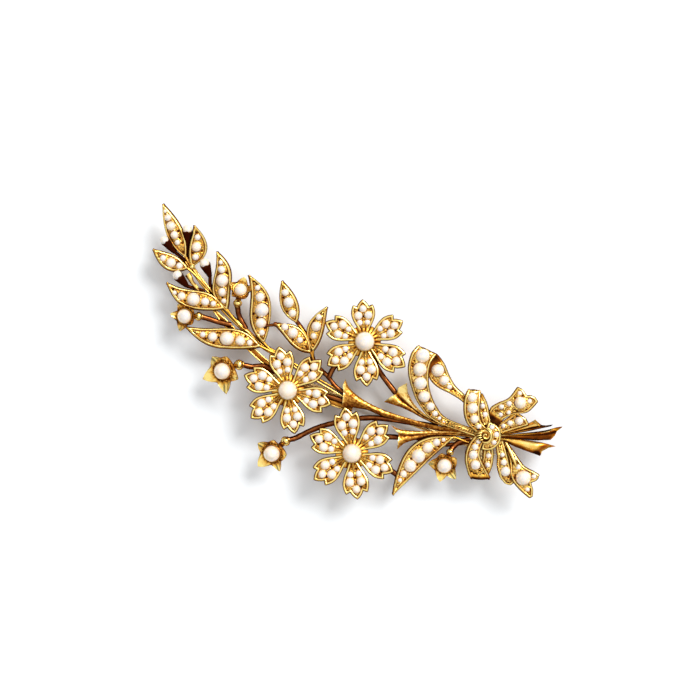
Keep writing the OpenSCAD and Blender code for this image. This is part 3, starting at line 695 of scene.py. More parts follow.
def leaf_rows(tip, base, width, bow, sway, tip_z, base_z, roll):
    """Stations [left x, y, z, right x, y, z] of a leaf from its base to its tip."""
    tip, base = np.array(tip), np.array(base)
    way = unit(tip - base)
    side = np.array([-way[1], way[0]])
    rows = []
    for t in np.linspace(0, 1, 49):
        off = bow * 4 * t * (1 - t) + sway * math.sin(2 * math.pi * t)
        c = base + (tip - base) * t + side * off
        z = base_z + (tip_z - base_z) * t
        half = max(0.1, width / 2 * max(math.sin(math.pi * t ** 0.85), 0) ** 0.9)
        across = np.array([*(side * math.cos(math.radians(roll))), math.sin(math.radians(roll))])
        m = np.array([*c, z])
        rows.append([*(m + across * half), *(m - across * half)])
    return np.array(rows)


class Band:
    """A sheet that follows stations [left x, y, z, right x, y, z], laid out flat as [s, t]."""

    def __init__(self, rows, steps, crown=CROWN):
        s = curve(rows, steps) if steps > 1 else np.array(rows, float)
        self.middle = (s[:, :3] + s[:, 3:]) / 2
        across = (s[:, :3] - s[:, 3:]) / 2
        self.half = np.linalg.norm(across, axis=1)
        self.side = unit(across)
        self.along = unit(np.gradient(self.middle, axis=0))
        self.normal = unit(np.cross(self.along, self.side))
        gaps = np.linalg.norm(np.diff(self.middle, axis=0), axis=1)
        self.s = np.concatenate([[0], np.cumsum(gaps)])
        self.length = self.s[-1]
        self.crown = crown

    def at(self, s, of):
        return np.stack([np.interp(s, self.s, of[:, k]) for k in range(3)], -1)

    def place(self, points, heights):
        s, t = points[:, 0], points[:, 1]
        half = np.interp(s, self.s, self.half)
        over = np.minimum(s, 0) + np.maximum(s - self.length, 0)
        crown = (np.minimum(self.crown, 0.22 * half)
                 * np.clip(1 - (t / np.maximum(half, 0.15)) ** 2, 0, 1))
        return (self.at(s, self.middle) + over[:, None] * self.at(s, self.along)
                + t[:, None] * unit(self.at(s, self.side))
                + (heights + crown)[:, None] * unit(self.at(s, self.normal)))

    def outline(self, end=(), start=(), past=(0, 0)):
        """The outline, anticlockwise. end and start list [t / half width, step outwards].

        past carries the outline on beyond its start and its end.
        """
        s = self.s.copy()
        s[0] -= past[0]
        s[-1] += past[1]
        right = np.stack([s, -self.half], 1)
        left = np.stack([s, self.half], 1)[::-1]
        far = [[self.length + d, a * self.half[-1]] for a, d in end]
        near = [[-d, a * self.half[0]] for a, d in start]
        loop = np.concatenate([right] + [np.array(x) for x in (far,) if x] + [left]
                              + [np.array(x) for x in (near,) if x])
        keep = np.linalg.norm(loop - np.roll(loop, 1, axis=0), axis=1) > 0.02
        return loop[keep]

    def find(self, centre):
        """Flat place of a point on the sheet, and how badly it fits."""
        v = centre - self.middle
        slip = np.abs((v * self.along).sum(1))
        lift = (v * self.normal).sum(1)
        t = (v * self.side).sum(1)
        cost = slip + 0.6 * np.abs(lift - SEAT) + 2 * np.maximum(np.abs(t) - self.half, 0)
        i = int(np.argmin(cost))
        return self.s[i], t[i], cost[i]


def share(pearls, bands):
    """Gives each pearl to the band it sits on: a list of [s, t, radius] for each band."""
    held = [[] for _ in bands]
    for centre, radius, _ in pearls:
        found = [b.find(centre) for b in bands]
        best = min(range(len(bands)), key=lambda k: found[k][2])
        held[best].append([found[best][0], found[best][1], radius])
    return held


leaf_pearls = {n: balls(n) for n in ("spray_leaf_pearls", "sprig_leaf_pearls", "long_leaf_pearls")}
leaf_bands = [Band(leaf_rows(*leaf), 1) for leaf in LEAVES]
leaf_seats = share([p for group in leaf_pearls.values() for p in group], leaf_bands)
for i, (band, seats) in enumerate(zip(leaf_bands, leaf_seats)):
    piece = Piece()
    # A vein runs from the outermost pearl to the tip
    far = max(s for s, _, r in seats) + 0.75
    veins = [((far, 0), (band.length - 0.3, 0), 0.07, 0.09)]
    add_plate(piece, band.outline(), band.place, LEAF_THICK, seats, veins,
              bed_tone=LONG_LEAF_TONE if i == LONG_LEAF else BED_TONE)
    # Its stalk runs in beside the wire that carries it
    route = curve(SPRAY_WIRE if i < FIRST_SPRIG_LEAF else SPRIG_WIRE if i < LONG_LEAF
                  else LEAF_BAR, 8)
    near = np.linalg.norm(route - band.middle[0], axis=1).argmin()
    joins = [route[min(near + k, len(route) - 1)] + [0, 0, lift]
             for k, lift in ((6, 0.35), (11, 0.2))]
    add_tube(piece, [[*(band.middle[8] - UP * 0.35), 0.36, 0.3],
                     [*(band.middle[0] - UP * 0.3), 0.24, 0.26],
                     [*joins[0], 0.15, 0.2], [*joins[1], 0.1, 0.12]], sides=12, patina=0.3)
    piece.build(f"leaf_{i + 1}_plate", GOLD, nodes=[f"leaf_{i + 1}"])


def pearl_piece(name, pearls, nodes, half=True, grow=1.0):
    piece = Piece()
    for centre, radius, normal in pearls:
        add_pearl(piece, centre, radius * grow, normal if half else UP, half)
    return piece.build(name, PEARL, slot="pearl", nodes=nodes, sharp=80)


for name, group in leaf_pearls.items():
    pearl_piece(name + "_nacre", group, [name], grow=LEAF_GROW)

# ---- flowers

# Half of a petal's outline: its curved side, then the notch beside the middle tooth
PETAL_SIDE = [(1.2, 0.45), (2.4, 0.98), (3.6, 1.6), (4.6, 1.9), (5.4, 1.86), (6.15, 1.62)]
PETAL_NOTCH = [(5.86, 0.95), (6.25, 0.78), (6.75, 0.4)]
PETAL_TIP = 7.1
OUTER_PEARL = 5.65
SEAT_RISE = 0.55


def petal_loop():
    side = curve(PETAL_SIDE, 4).tolist() + [list(p) for p in PETAL_NOTCH]
    return np.array([[u, -v] for u, v in side] + [[PETAL_TIP, 0]] + [[u, v] for u, v in side[::-1]])


def flower(letter):
    cup_lo, cup_hi = (np.array(c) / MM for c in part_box(f"flower_{letter}_cup"))
    heart = (cup_lo + cup_hi) / 2
    plate_z = cup_lo[2] - 0.25
    pearls = balls(f"flower_{letter}_petal_pearls")
    reach = [np.linalg.norm(c[:2] - heart[:2]) for c, _, _ in pearls]
    outer = sorted(range(len(pearls)), key=lambda k: -reach[k])[:6]
    piece = Piece()
    for k in outer:
        c, _, n = pearls[k]
        tilt = math.asin(min(np.linalg.norm(n[:2]), 1))
        size = reach[k] / (OUTER_PEARL * math.cos(tilt) - SEAT_RISE * math.sin(tilt))
        out = unit(np.array([*(c[:2] - heart[:2]), 0]))
        way = out * math.cos(tilt) + UP * math.sin(tilt)
        normal = unit(np.cross(way, np.cross(UP, out)))
        across = np.cross(normal, way)
        start = c - way * OUTER_PEARL * size - normal * SEAT_RISE * size
        own = sorted(pearls, key=lambda p: np.linalg.norm(
            p[0] - start - way * 4.4 * size))[:5]
        seats = [[(p[0] - start) @ way, (p[0] - start) @ across, p[1]] for p in own]

        def place(points, heights, start=start, way=way, across=across, normal=normal, size=size):
            u, v = points[:, 0], points[:, 1]
            rise = 0.8 * size + 0.03 * v * v - 0.05 * smooth_step(u, 5.9, 7.2)
            return (start + u[:, None] * way + v[:, None] * across
                    + (heights + rise)[:, None] * normal)

        veins = [((2.0 * size, 0), (4.75 * size, 0), 0.1, 0.09)]
        add_plate(piece, petal_loop() * size, place, PETAL_THICK, seats, veins,
                  bed_tone=PETAL_TONE)
    # Gallery under the petals
    turn = turns(72)
    flute = 1 - 0.06 * np.cos(turn * 12)
    low = 3.5
    rows = [(0.35, low), (0.72, low), (0.85, low + 0.12), (1.0, low + 0.3), (1.5, low + 0.8),
            (2.1, plate_z - 0.02), (2.32, plate_z + 0.12), (2.3, plate_z + 0.5),
            (1.2, plate_z + 0.55)]
    add_rings(piece, [level_ring(heart, r * flute, turn, z) for r, z in rows], 0.4)
    piece.build(f"flower_{letter}_petals_set", GOLD, nodes=[f"flower_{letter}_petals"])
    # Ribbed collar that holds the middle pearl
    collar = Piece()
    n = 180
    turn = turns(n)
    ribs = np.abs(np.cos(turn * 10)) ** 0.7
    # Radius, height, depth of the ribs, and how dark: painted shade inside and under the collar,
    # and darker between the ribs
    notes = [(1.0, 0.3, 0, 0.6), (1.25, 0.9, 0, 0.6), (1.37, 1.24, 0, 0.45), (1.47, 1.3, 0.0, 0.15),
             (1.6, 1.2, 0.05, 0.35), (1.85, 1.07, 0.11, 0.3), (2.15, 1.0, 0.12, 0.3),
             (2.42, 0.98, 0.08, 0.4), (2.5, 0.86, 0.02, 0.7), (2.2, 0.75, 0, 0.8),
             (0.9, 0.3, 0, 0.8)]
    rings, values = [], []
    for r, z, rib, dark in notes:
        spread = r * (1 + (0.05 * (ribs - 0.5) if r > 2.3 else 0))
        rings.append(level_ring(heart, spread, turn, plate_z + z + rib * (ribs - 0.5)))
        values.append(dark + (0.08 + 0.75 * (1 - ribs) if rib else 0 * ribs))
    m = len(rings)
    points = np.concatenate(rings)
    faces = [(i * n + k, i * n + (k + 1) % n,
              ((i + 1) % m) * n + (k + 1) % n, ((i + 1) % m) * n + k)
             for i in range(m) for k in range(n)]
    collar.add(points, [f[::-1] for f in faces], np.clip(np.concatenate(values), 0, 1))
    collar.build(f"flower_{letter}_collar", GOLD, nodes=[f"flower_{letter}_cup"])
    pearl_piece(f"flower_{letter}_petal_nacre", pearls, [f"flower_{letter}_petal_pearls"],
                grow=PETAL_GROW)
    pearl_piece(f"flower_{letter}_centre_nacre", balls(f"flower_{letter}_centre_pearl"),
                [f"flower_{letter}_centre_pearl"], half=False)


for letter in "abc":
    flower(letter)

# ---- buds and berries

# A bud: centre of the cup's floor, heading of its lean, pearl radius, scale of the cup, and how
# far each lobe reaches
BUDS = [
    [(-23.9, -0.8, 3.9), 208, 1.1, 0.85, (1.0, 1.05, 0.6, 0.5, 0.75)],
    [(-18.75, 6.4, 4.0), 108, 1.0, 0.78, (0.95, 0.8, 0.6, 0.55, 1.05)],
    [(-14.75, -5.0, 4.2), 232, 1.25, 1.18, (1.25, 1.3, 0.75, 0.4, 0.55)],
    [(-1.95, -12.1, 4.1), 250, 1.25, 1.05, (1.2, 1.15, 0.55, 0.4, 0.85)],
    [(21.75, -0.45, 4.1), 275, 1.1, 0.97, (1.05, 1.15, 0.75, 0.55, 0.85)],
]
BUD_TILT = 24


def bud(i, floor, heading, pearl_r, s, lobes):
    axis = np.array(Matrix.Rotation(math.radians(heading), 3, "Z")
                    @ Matrix.Rotation(math.radians(BUD_TILT), 3, "Y"))
    turn = turns(120)
    warped = turn + 0.12 * np.sin(turn * 2 + i) + 0.06 * np.sin(turn * 3 + 2 * i)
    lobe = (warped * 5 / (2 * np.pi)) % 5
    saw = np.abs(lobe % 1 - 0.5) * 2      # 1 on a tooth, 0 in a valley
    which = np.round(lobe).astype(int) % 5
    tooth = saw ** 1.4
    reach = s * (1.78 + np.array(lobes)[which] * tooth)
    curl = rng.uniform(-0.25, 0.55, 5)[which] * tooth
    rib = bump(1 - saw, 0.14) - 0.6 * bump(saw, 0.25)
    # Radius, height, part of the lobes' reach, height of their ribs, and painted shade: dark round
    # the pearl, under the lobes and on the cup's back
    notes = [
        (0.5 * pearl_r, 0.45, 0, 0, 0.7), (pearl_r * 0.96, 0.98, 0, 0, 0.7),
        (pearl_r + 0.05, 1.2, 0, 0, 0.45), (pearl_r + 0.16, 1.23, 0, 0, 0.2),
        (pearl_r + 0.26, 1.08, 0.25, 0.03, 0.6), (0, 1.08, 0.45, 0.1, 0.1),
        (0, 1.15, 0.7, 0.14, 0.0),
        (0, 1.22, 0.88, 0.1, 0.0), (0, 1.27, 0.97, 0.0, 0.0), (0, 1.18, 1.0, 0, 0.7),
        (0, 1.02, 0.98, 0, 0.9), (0, 0.85, 0.75, 0, 0.8), (1.38 * s, 0.75, 0, 0, 0.7),
        (1.15 * s, 0.1, 0, 0, 0.5), (0.85 * s, -0.2, 0, 0, 0.5), (0.5 * s, -0.45, 0, 0, 0.6)]
    rings, values = [], []
    for r, z, part, ridge, dark in notes:
        base_r = r if part in (0, 0.25) else pearl_r + 0.26
        radius = base_r + (reach - base_r) * (part if part > 0.3 else 0)
        lift = z + ridge * rib + (0.2 * tooth * part + curl * max(part - 0.45, 0)
                                  if part > 0.3 else 0)
        local = np.stack([radius * np.cos(turn), radius * np.sin(turn), lift], 1)
        rings.append(np.array(floor) + local @ axis.T)
        # Painted shade in the valleys between the lobes and along their flanks, and a painted
        # highlight along each lobe's middle, strongest near the pearl
        crease = 0.45 * bump(saw, 0.25) - 0.2 * rib + 0.25 * bump(saw - 0.6, 0.1)
        crease_shade = crease * (1.3 - part) if 0.2 < part < 0.98 else 0 * saw
        values.append(np.clip(dark + crease_shade, 0, 1))
    piece = Piece()
    add_rings(piece, [r[::-1] for r in rings], np.array([v[::-1] for v in values]))
    for k in range(5):
        for spread, out in ((0.0, 0.5), (0.32, 0.28), (-0.32, 0.28)):
            a = 2 * np.pi * (k + 0.5) / 5 + spread + math.pi / 5
            p = np.array([(pearl_r + 0.2 + out * 0.5) * math.cos(a),
                          (pearl_r + 0.2 + out * 0.5) * math.sin(a), 1.2])
            add_bead(piece, np.array(floor) + axis @ p, 0.11 * s, 0.0, COARSE_BALL)
    piece.build(f"bud_{i}_cup", GOLD, nodes=[f"bud_{i}"])


for i, row in enumerate(BUDS):
    bud(i + 1, *row)
pearl_piece("bud_nacre", balls("bud_pearls"), ["bud_pearls"], half=False)

STALK_R = 0.43
BUD_STALKS = [
    [[(-22.5, 0.05, 3.9), (-21.0, 0.5, 3.6), (-19.5, 0.8, 3.4), (-17.5, 1.4, 3.3)], 0.52],
    [[(-18.3, 4.8, 4.0), (-17.8, 4.0, 3.7), (-17.0, 3.1, 3.4), (-15.2, 2.0, 3.3)], 0.52],
    [[(-13.35, -3.3, 4.2), (-11.5, -2.6, 3.8), (-10.0, -1.6, 3.6), (-8.0, -1.5, 3.5)], 0.62],
    [[(-1.25, -9.9, 4.1), (-0.2, -8.8, 3.8), (1.0, -7.0, 3.5), (2.4, -5.2, 3.4), (3.9, -3.7, 3.4),
      (7.0, -1.1, 3.4), (10.0, 0.6, 3.4), (14.0, 2.2, 3.4), (18.0, 3.8, 3.5)], 0.58],
    [[(21.55, 1.3, 4.0), (21.6, 2.2, 3.8), (22.1, 3.4, 3.6), (23.2, 4.6, 3.5)], 0.45],
]
LONG_STALK = 3


def add_wire(piece, points, r, patina=0.15):
    """A round wire that is slightly uneven."""
    add_tube(piece, [[*p, r, r] for p in points], patina=patina, wobble=0.03)


def wire_piece(name, routes, r, nodes):
    piece = Piece()
    for points in routes:
        add_wire(piece, points, r)
    piece.build(name, STEM, slot="stem_gold", nodes=nodes)


def bud_stalk(piece, i):
    points, bead_r = BUD_STALKS[i]
    start = np.array(BUDS[i][0]) - [0, 0, 0.3]
    add_wire(piece, [start, *points], STALK_R)
    return np.array(points[0]), unit(np.array(points[1]) - start), bead_r * 1.3


def add_node(piece, bead, way, bead_r):
    """A ball on a stalk between two narrow collars."""
    side, up = axes_from(way)
    out = spokes(turns(24), side, up)
    rings, values = [], []
    for z, r in ((-0.95, 0.35), (-0.9, 0.6), (-0.72, 0.68), (-0.66, 0.6), (-0.62, 0.72),
                 (-0.4, 0.93), (0, 1.03), (0.4, 0.93), (0.66, 0.7), (0.72, 0.58), (0.78, 0.66),
                 (0.92, 0.6), (0.97, 0.35)):
        rings.append(bead + bead_r * (z * way + r * out))
        # Dark lines at the collars, and painted shade where the ball faces sideways and down
        rise = unit(rings[-1] - bead)[:, 2]
        values.append(0.5 * (abs(abs(z) - 0.66) < 0.04)
                      + 0.85 * (1 - smooth_step(rise, 0.15, 0.75)))
    add_rings(piece, rings, np.array(values))


piece, beads = Piece(), Piece()
for i in range(len(BUDS)):
    if i != LONG_STALK:
        add_node(beads, *bud_stalk(piece, i))
piece.build("bud_stalk_wires", STEM, slot="stem_gold", nodes=["bud_stalks"])
piece = Piece()
add_node(beads, *bud_stalk(piece, LONG_STALK))
piece.build("long_bud_stem_wire", STEM, slot="stem_gold", nodes=["long_bud_stem"])
beads.build("bud_beads", PLAIN)

# A berry's stalk, from its cup inwards
BERRY_STALKS = [
    [(-29.9, 9.0, 3.7), (-28.5, 7.0, 3.4), (-27.6, 6.3, 3.3)],
    [(-31.2, 6.9, 3.7), (-29.5, 6.6, 3.4), (-27.6, 6.2, 3.3)],
    [(-24.4, 6.8, 3.7), (-23.5, 5.3, 3.4), (-22.3, 4.1, 3.3)],
    [(-26.9, 3.1, 3.7), (-25.5, 3.4, 3.4), (-23.6, 3.9, 3.3)],
]
berries = [(np.array(c), r, UP) for c, r in (
    ((-30.65, 10.75, 4.7), 0.7), ((-32.85, 7.55, 4.7), 0.66),
    ((-25.75, 7.6, 4.75), 0.76), ((-28.45, 3.9, 4.7), 0.74))]
piece = Piece()
for (centre, r, _), stalk in zip(berries, BERRY_STALKS):
    foot = np.array(stalk[0]) + (np.array(stalk[1]) - stalk[0]) * 0.35
    reach = np.linalg.norm(centre - foot)
    way = unit(centre - foot)
    side, up = axes_from(way)
    turn = turns(60)
    out = spokes(turn, side, up)
    claw = smooth_step(np.cos(turn * 4), -0.2, 0.9)
    rings, values = [], []
    # Place along the way, radius, how far the claws stand on, how dark
    for z, q, c, dark in (
            (-reach, 0.2, 0, 0.9), (-reach, 0.34, 0, 0.8), (-reach * 0.8, 0.46, 0, 0.6),
            (-r - 0.55, 0.62, 0, 0.8), (-r * 1.05, r * 0.97, 0, 0.8),
            (-r * 0.6, r * 1.08, 0, 0.65), (-r * 0.35, r * 1.08, 0.12, 0.4),
            (-r * 0.3, r, 0.14, 0.3), (-r * 0.45, r * 0.85, 0, 0.9), (-r * 0.9, r * 0.5, 0, 1.0)):
        rings.append(centre + (z + c * claw)[:, None] * way
                     + (q - 0.1 * c * claw)[:, None] * out)
        values.append(dark)
    add_rings(piece, rings, np.array(values))
    add_wire(piece, [foot - way * 0.05, *stalk[1:]], 0.28, patina=0.5)
piece.build("berry_cup_claws", STEM, slot="yellow_gold", nodes=["berry_cups"])
pearl_piece("berry_nacre", berries, ["berry_pearls"], half=False)

# ---- wires

FLOWER_STALKS = [
    [(-4.9, -2.9, 3.6), (-3.0, -2.0, 3.4), (0.0, -0.9, 3.3), (4.0, 0.0, 3.4)],
    [(1.55, 9.5, 3.7), (3.6, 8.2, 3.6), (6.2, 6.5, 3.5), (10.5, 4.7, 3.5)],
    [(1.2, 8.0, 3.7), (-0.1, 5.6, 3.6), (-0.5, 3.6, 3.5), (-0.4, 1.9, 3.4)],
    [(8.45, -6.4, 3.6), (9.8, -3.8, 3.5), (11.4, -1.9, 3.5), (14.2, -0.4, 3.5)],
    [(9.0, -6.3, 3.7), (12.0, -5.9, 3.7), (14.6, -5.7, 3.8), (16.6, -5.9, 4.1)],
]


def add_bundle(piece, points, strands, r, spread):
    """Thin wires laid side by side along one route, crossing over slowly."""
    route = curve(points, 5)
    along = unit(np.gradient(route, axis=0))
    side = unit(np.cross(UP, along))
    for k in range(strands):
        a = 2 * np.pi * k / strands + 0.3 + 0.05 * np.arange(len(route))
        shift = side * (spread * np.cos(a))[:, None] + UP * (spread * 0.6 * np.sin(a))[:, None]
        rows = np.concatenate([route + shift, np.full((len(route), 2), r)], 1)
        add_tube(piece, rows[::2], sides=12, steps=3, patina=0.12 + 0.1 * k, wobble=0.02)


piece = Piece()
add_bundle(piece, SPRAY_WIRE, 3, 0.2, 0.3)
add_bead(piece, (-27.2, 6.15, 3.8), 0.5)
piece.build("spray_wire_bundle", PLAIN, slot="stem_gold", nodes=["spray_wire"])
piece = Piece()
# A flat bar with a polished rail along each edge, cross-hatched between them
route = curve(BACK_WIRE, 24)
side = unit(np.cross(UP, np.gradient(route, axis=0)))
wide = 0.3 * smooth_step(np.arange(len(route)), 10, 45) + 0.1
hatch = np.where(np.arange(len(route)) % 2, 0.15, 0.09)
add_tube(piece, np.concatenate([route, wide[:, None], hatch[:, None]], 1), sides=10, steps=1,
         patina=0.6)
for way in (-1, 1):
    rail = route + side * (way * wide)[:, None]
    add_tube(piece, np.concatenate([rail, np.full((len(rail), 2), 0.13)], 1)[::6], sides=10,
             patina=0.1)
add_tube(piece, [[-27.2, 4.8, 3.9, .5, .3], [-26.6, 4.5, 4.0, .42, .34], [-25.9, 4.05, 3.8, .3, .3],
                 [-24.4, 3.4, 3.5, .2, .2]], patina=0.1)
piece.build("back_wire_bar", PLAIN, slot="stem_gold", nodes=["back_wire"])
piece = Piece()
add_wire(piece, SPRIG_WIRE, 0.34)
# Strut between the sixth leaf and the sprig
add_tube(piece, [[-13.2, 3.7, 4.2, .25, .25], [-12.2, 4.4, 4.2, .25, .25],
                 [-11.2, 5.2, 4.3, .25, .25], [-10.6, 5.3, 4.2, .2, .2]])
add_bead(piece, (-11.6, 4.9, 4.45), 0.4)
piece.build("sprig_wire_run", STEM, slot="stem_gold", nodes=["sprig_wire"])
wire_piece("flower_stalk_wires", FLOWER_STALKS, STALK_R, ["flower_stalks"])
wire_piece("leaf_bar_wire", [LEAF_BAR], 0.32, ["leaf_bar"])

# ---- sheaths and stem ends

# Each is a folded sheet of five rails, upper edge first: x, y, z of its points in turn, from its
# mouth to its narrow end. Tones and necks say how dark each rail is at the mouth and further in:
# painted shade, on the valley and on the rails that face away from the light.
SHEATHS = [
    [[1.95, 3, 4.9, 3.1, 2.15, 4.6, 4.6, 1.78, 4.4, 6.8, 1.62, 4.3, 9.5, 1.85, 4.1, 13, 2.55, 4.1,
      17.5, 3.75, 4.1, 24.6, 6.4, 4],
     [2.1, 1.9, 5.1, 3.3, 1.55, 4.9, 4.8, 1.35, 4.75, 6.9, 1.32, 4.6, 9.5, 1.55, 4.35,
      13, 2.35, 4.3, 17.5, 3.6, 4.2, 24.6, 6.25, 4.1],
     [2.75, 1.05, 4.9, 3.8, 0.85, 4.95, 5.2, 0.85, 4.8, 7.1, 1.05, 4.6, 9.6, 1.3, 4.4,
      13, 2.15, 4.35, 17.5, 3.4, 4.25, 24.6, 6.1, 4.1],
     [3.1, 0.2, 5, 4, 0.15, 4.8, 5.4, 0.45, 4.6, 7.2, 0.8, 4.4, 9.6, 1.08, 4.25, 13, 1.95, 4.15,
      17.5, 3.2, 4.1, 24.6, 5.95, 4],
     [3.6, -0.95, 4.8, 4.4, -0.5, 4.4, 5.8, 0, 4.2, 7.4, 0.55, 4.1, 9.7, 0.85, 4, 13, 1.75, 3.9,
      17.5, 2.95, 3.9, 24.6, 5.8, 3.8]],
    [[10.45, 7.25, 5, 10.95, 6.45, 4.8, 11.7, 5.75, 4.6, 13.2, 4.92, 4.4, 15.5, 4.45, 4.25,
      18.5, 4.85, 4.1, 24.6, 6.8, 4],
     [9.65, 5.9, 5.1, 10.1, 5.25, 4.95, 11.3, 4.85, 4.8, 13.1, 4.45, 4.6, 15.5, 4.22, 4.4,
      18.5, 4.7, 4.3, 24.6, 6.65, 4.1],
     [9.9, 4.95, 4.5, 10.7, 4.65, 4.4, 11.9, 4.4, 4.35, 13.4, 4.22, 4.3, 15.5, 4.06, 4.15,
      18.5, 4.5, 4.1, 24.6, 6.5, 4.05],
     [9.25, 3.95, 5.1, 10.2, 4, 4.8, 11.8, 4.05, 4.6, 13.4, 4, 4.45, 15.5, 3.92, 4.35,
      18.5, 4.3, 4.2, 24.6, 6.35, 4.1],
     [8.85, 2.9, 4.9, 9.9, 3.15, 4.5, 11.6, 3.5, 4.2, 13.4, 3.65, 4.1, 15.5, 3.7, 4, 18.5, 4.1, 3.9,
      24.6, 6.2, 3.8]],
    [[11.6, 0.35, 4.8, 13, 0.5, 4.6, 14.2, 0.95, 4.4, 15.6, 1.65, 4.2, 17.5, 2.75, 4.1,
      20.5, 4.4, 4, 24.7, 6, 4],
     [12.7, 0, 5.05, 13.6, 0.2, 4.85, 14.6, 0.65, 4.65, 15.8, 1.42, 4.4, 17.6, 2.55, 4.2,
      20.6, 4.25, 4.1, 24.7, 5.85, 4.1],
     [13.4, -0.4, 4.55, 14, -0.1, 4.5, 14.9, 0.4, 4.4, 16, 1.15, 4.25, 17.7, 2.35, 4.15,
      20.7, 4.1, 4.05, 24.7, 5.7, 4.05],
     [13.75, -1.3, 4.95, 14.3, -0.6, 4.75, 15.1, 0.1, 4.55, 16.2, 0.95, 4.3, 17.8, 2.2, 4.15,
      20.8, 3.95, 4.1, 24.7, 5.55, 4],
     [14.3, -2.4, 4.7, 14.7, -1.2, 4.4, 15.5, -0.2, 4.2, 16.5, 0.65, 4, 17.9, 2, 3.9,
      20.9, 3.8, 3.9, 24.7, 5.4, 3.8]],
]
SHEATH_TONES = [[0.45, 0.4, 0.5, 0.45, 0.75], [0, 0, 0.55, 0.25, 0.6],
                [0.1, 0.25, 0.55, 0.35, 0.65]]
SHEATH_NECKS = [[0.5, 0.3, 0.6, 0.5, 1], [0.05, 0.1, 0.6, 0.3, 0.8], [0.3, 0.2, 0.6, 0.3, 0.85]]
STEM_ENDS = [
    [[30.4, 12.2, 4.5, 29.9, 11.4, 4.5, 29.3, 10.7, 4.4, 28.2, 9.4, 4.3, 26.9, 8, 4.3,
      25, 6.7, 4.2],
     [31.6, 11.95, 5.1, 30.8, 11.35, 5, 30, 10.6, 4.9, 28.6, 9.25, 4.7, 27.05, 7.85, 4.6,
      25.1, 6.6, 4.4],
     [32.3, 12.25, 4.5, 31.2, 11.35, 4.5, 30.2, 10.45, 4.4, 28.8, 9.15, 4.4, 27.2, 7.8, 4.3,
      25.2, 6.5, 4.2],
     [33.15, 12.9, 5, 31.6, 11.5, 4.8, 30.4, 10.4, 4.7, 28.9, 9.05, 4.5, 27.35, 7.75, 4.4,
      25.3, 6.4, 4.3],
     [33, 12.5, 4.4, 31.7, 11.3, 4.2, 30.5, 10.2, 4.2, 29, 8.95, 4.1, 27.4, 7.65, 4.1,
      25.4, 6.3, 4]],
    [[33.9, 12.9, 4.6, 32.6, 11.6, 4.5, 31.2, 10.5, 4.4, 29.4, 9.2, 4.3, 27.35, 7.7, 4.3,
      25.2, 6.6, 4.2],
     [34.6, 13.4, 5.1, 32.95, 11.5, 5, 31.4, 10.35, 4.9, 29.5, 9.1, 4.7, 27.4, 7.65, 4.5,
      25.3, 6.5, 4.4],
     [34.2, 12.3, 4.4, 33, 11.1, 4.4, 31.55, 10.1, 4.4, 29.7, 8.95, 4.35, 27.5, 7.55, 4.3,
      25.4, 6.4, 4.2],
     [34.2, 11.6, 5, 33, 10.8, 4.9, 31.7, 9.95, 4.8, 29.8, 8.85, 4.6, 27.6, 7.5, 4.5,
      25.5, 6.3, 4.3],
     [34.05, 10.7, 4.2, 33.2, 10.15, 4.2, 31.9, 9.35, 4.1, 30, 8.45, 4.1, 27.7, 7.35, 4.1,
      25.6, 6.2, 4]],
    [[35.2, 10.25, 4.7, 33.3, 9.75, 4.5, 31.5, 9.1, 4.4, 29.5, 8.25, 4.3, 27.3, 7.2, 4.2,
      25.4, 6.3, 4.2],
     [34.3, 9.45, 5, 33, 9.1, 4.9, 31.6, 8.6, 4.8, 29.6, 7.9, 4.6, 27.35, 7.05, 4.5,
      25.5, 6.2, 4.4],
     [33.7, 8.5, 5, 32.8, 8.2, 4.9, 31.6, 7.95, 4.8, 29.6, 7.5, 4.7, 27.4, 6.95, 4.5,
      25.6, 6.1, 4.4],
     [33.85, 8, 4.4, 32.8, 7.85, 4.5, 31.6, 7.6, 4.5, 29.6, 7.25, 4.4, 27.45, 6.85, 4.3,
      25.7, 6, 4.2],
     [33.85, 7.7, 4.1, 32.9, 7.55, 4.1, 31.6, 7.3, 4.1, 29.6, 7, 4.1, 27.5, 6.75, 4.1,
      25.7, 5.9, 4]],
]
STEM_NECKS = [[0.35, 0, 0.85, 0.4, 0.95], [0.15, 0, 0.15, 0.75, 1], [0.3, 0, 0.35, 0.85, 0.95]]
STEM_TONES = [[0.1, 0, 0.75, 0.85, 1], [0, 0, 0.1, 0.75, 1], [0.4, 0.1, 0, 0.8, 1]]
# The scoop at each mouth: how far in it lies, its length (both in rows), and its depth at each rail
SCOOPS = [(1.0, 2.2, [0.5, 1, 1, 0.9, 0]), (1.5, 3.0, [1, 1, 0.5, 0, 0]),
          (4.0, 3.4, [0.2, 0.9, 1, 0.9, 0.3])]
NO_SCOOP = (0, 1, [0] * 5)
RAIL_STEPS, BETWEEN_RAILS = 7, 5


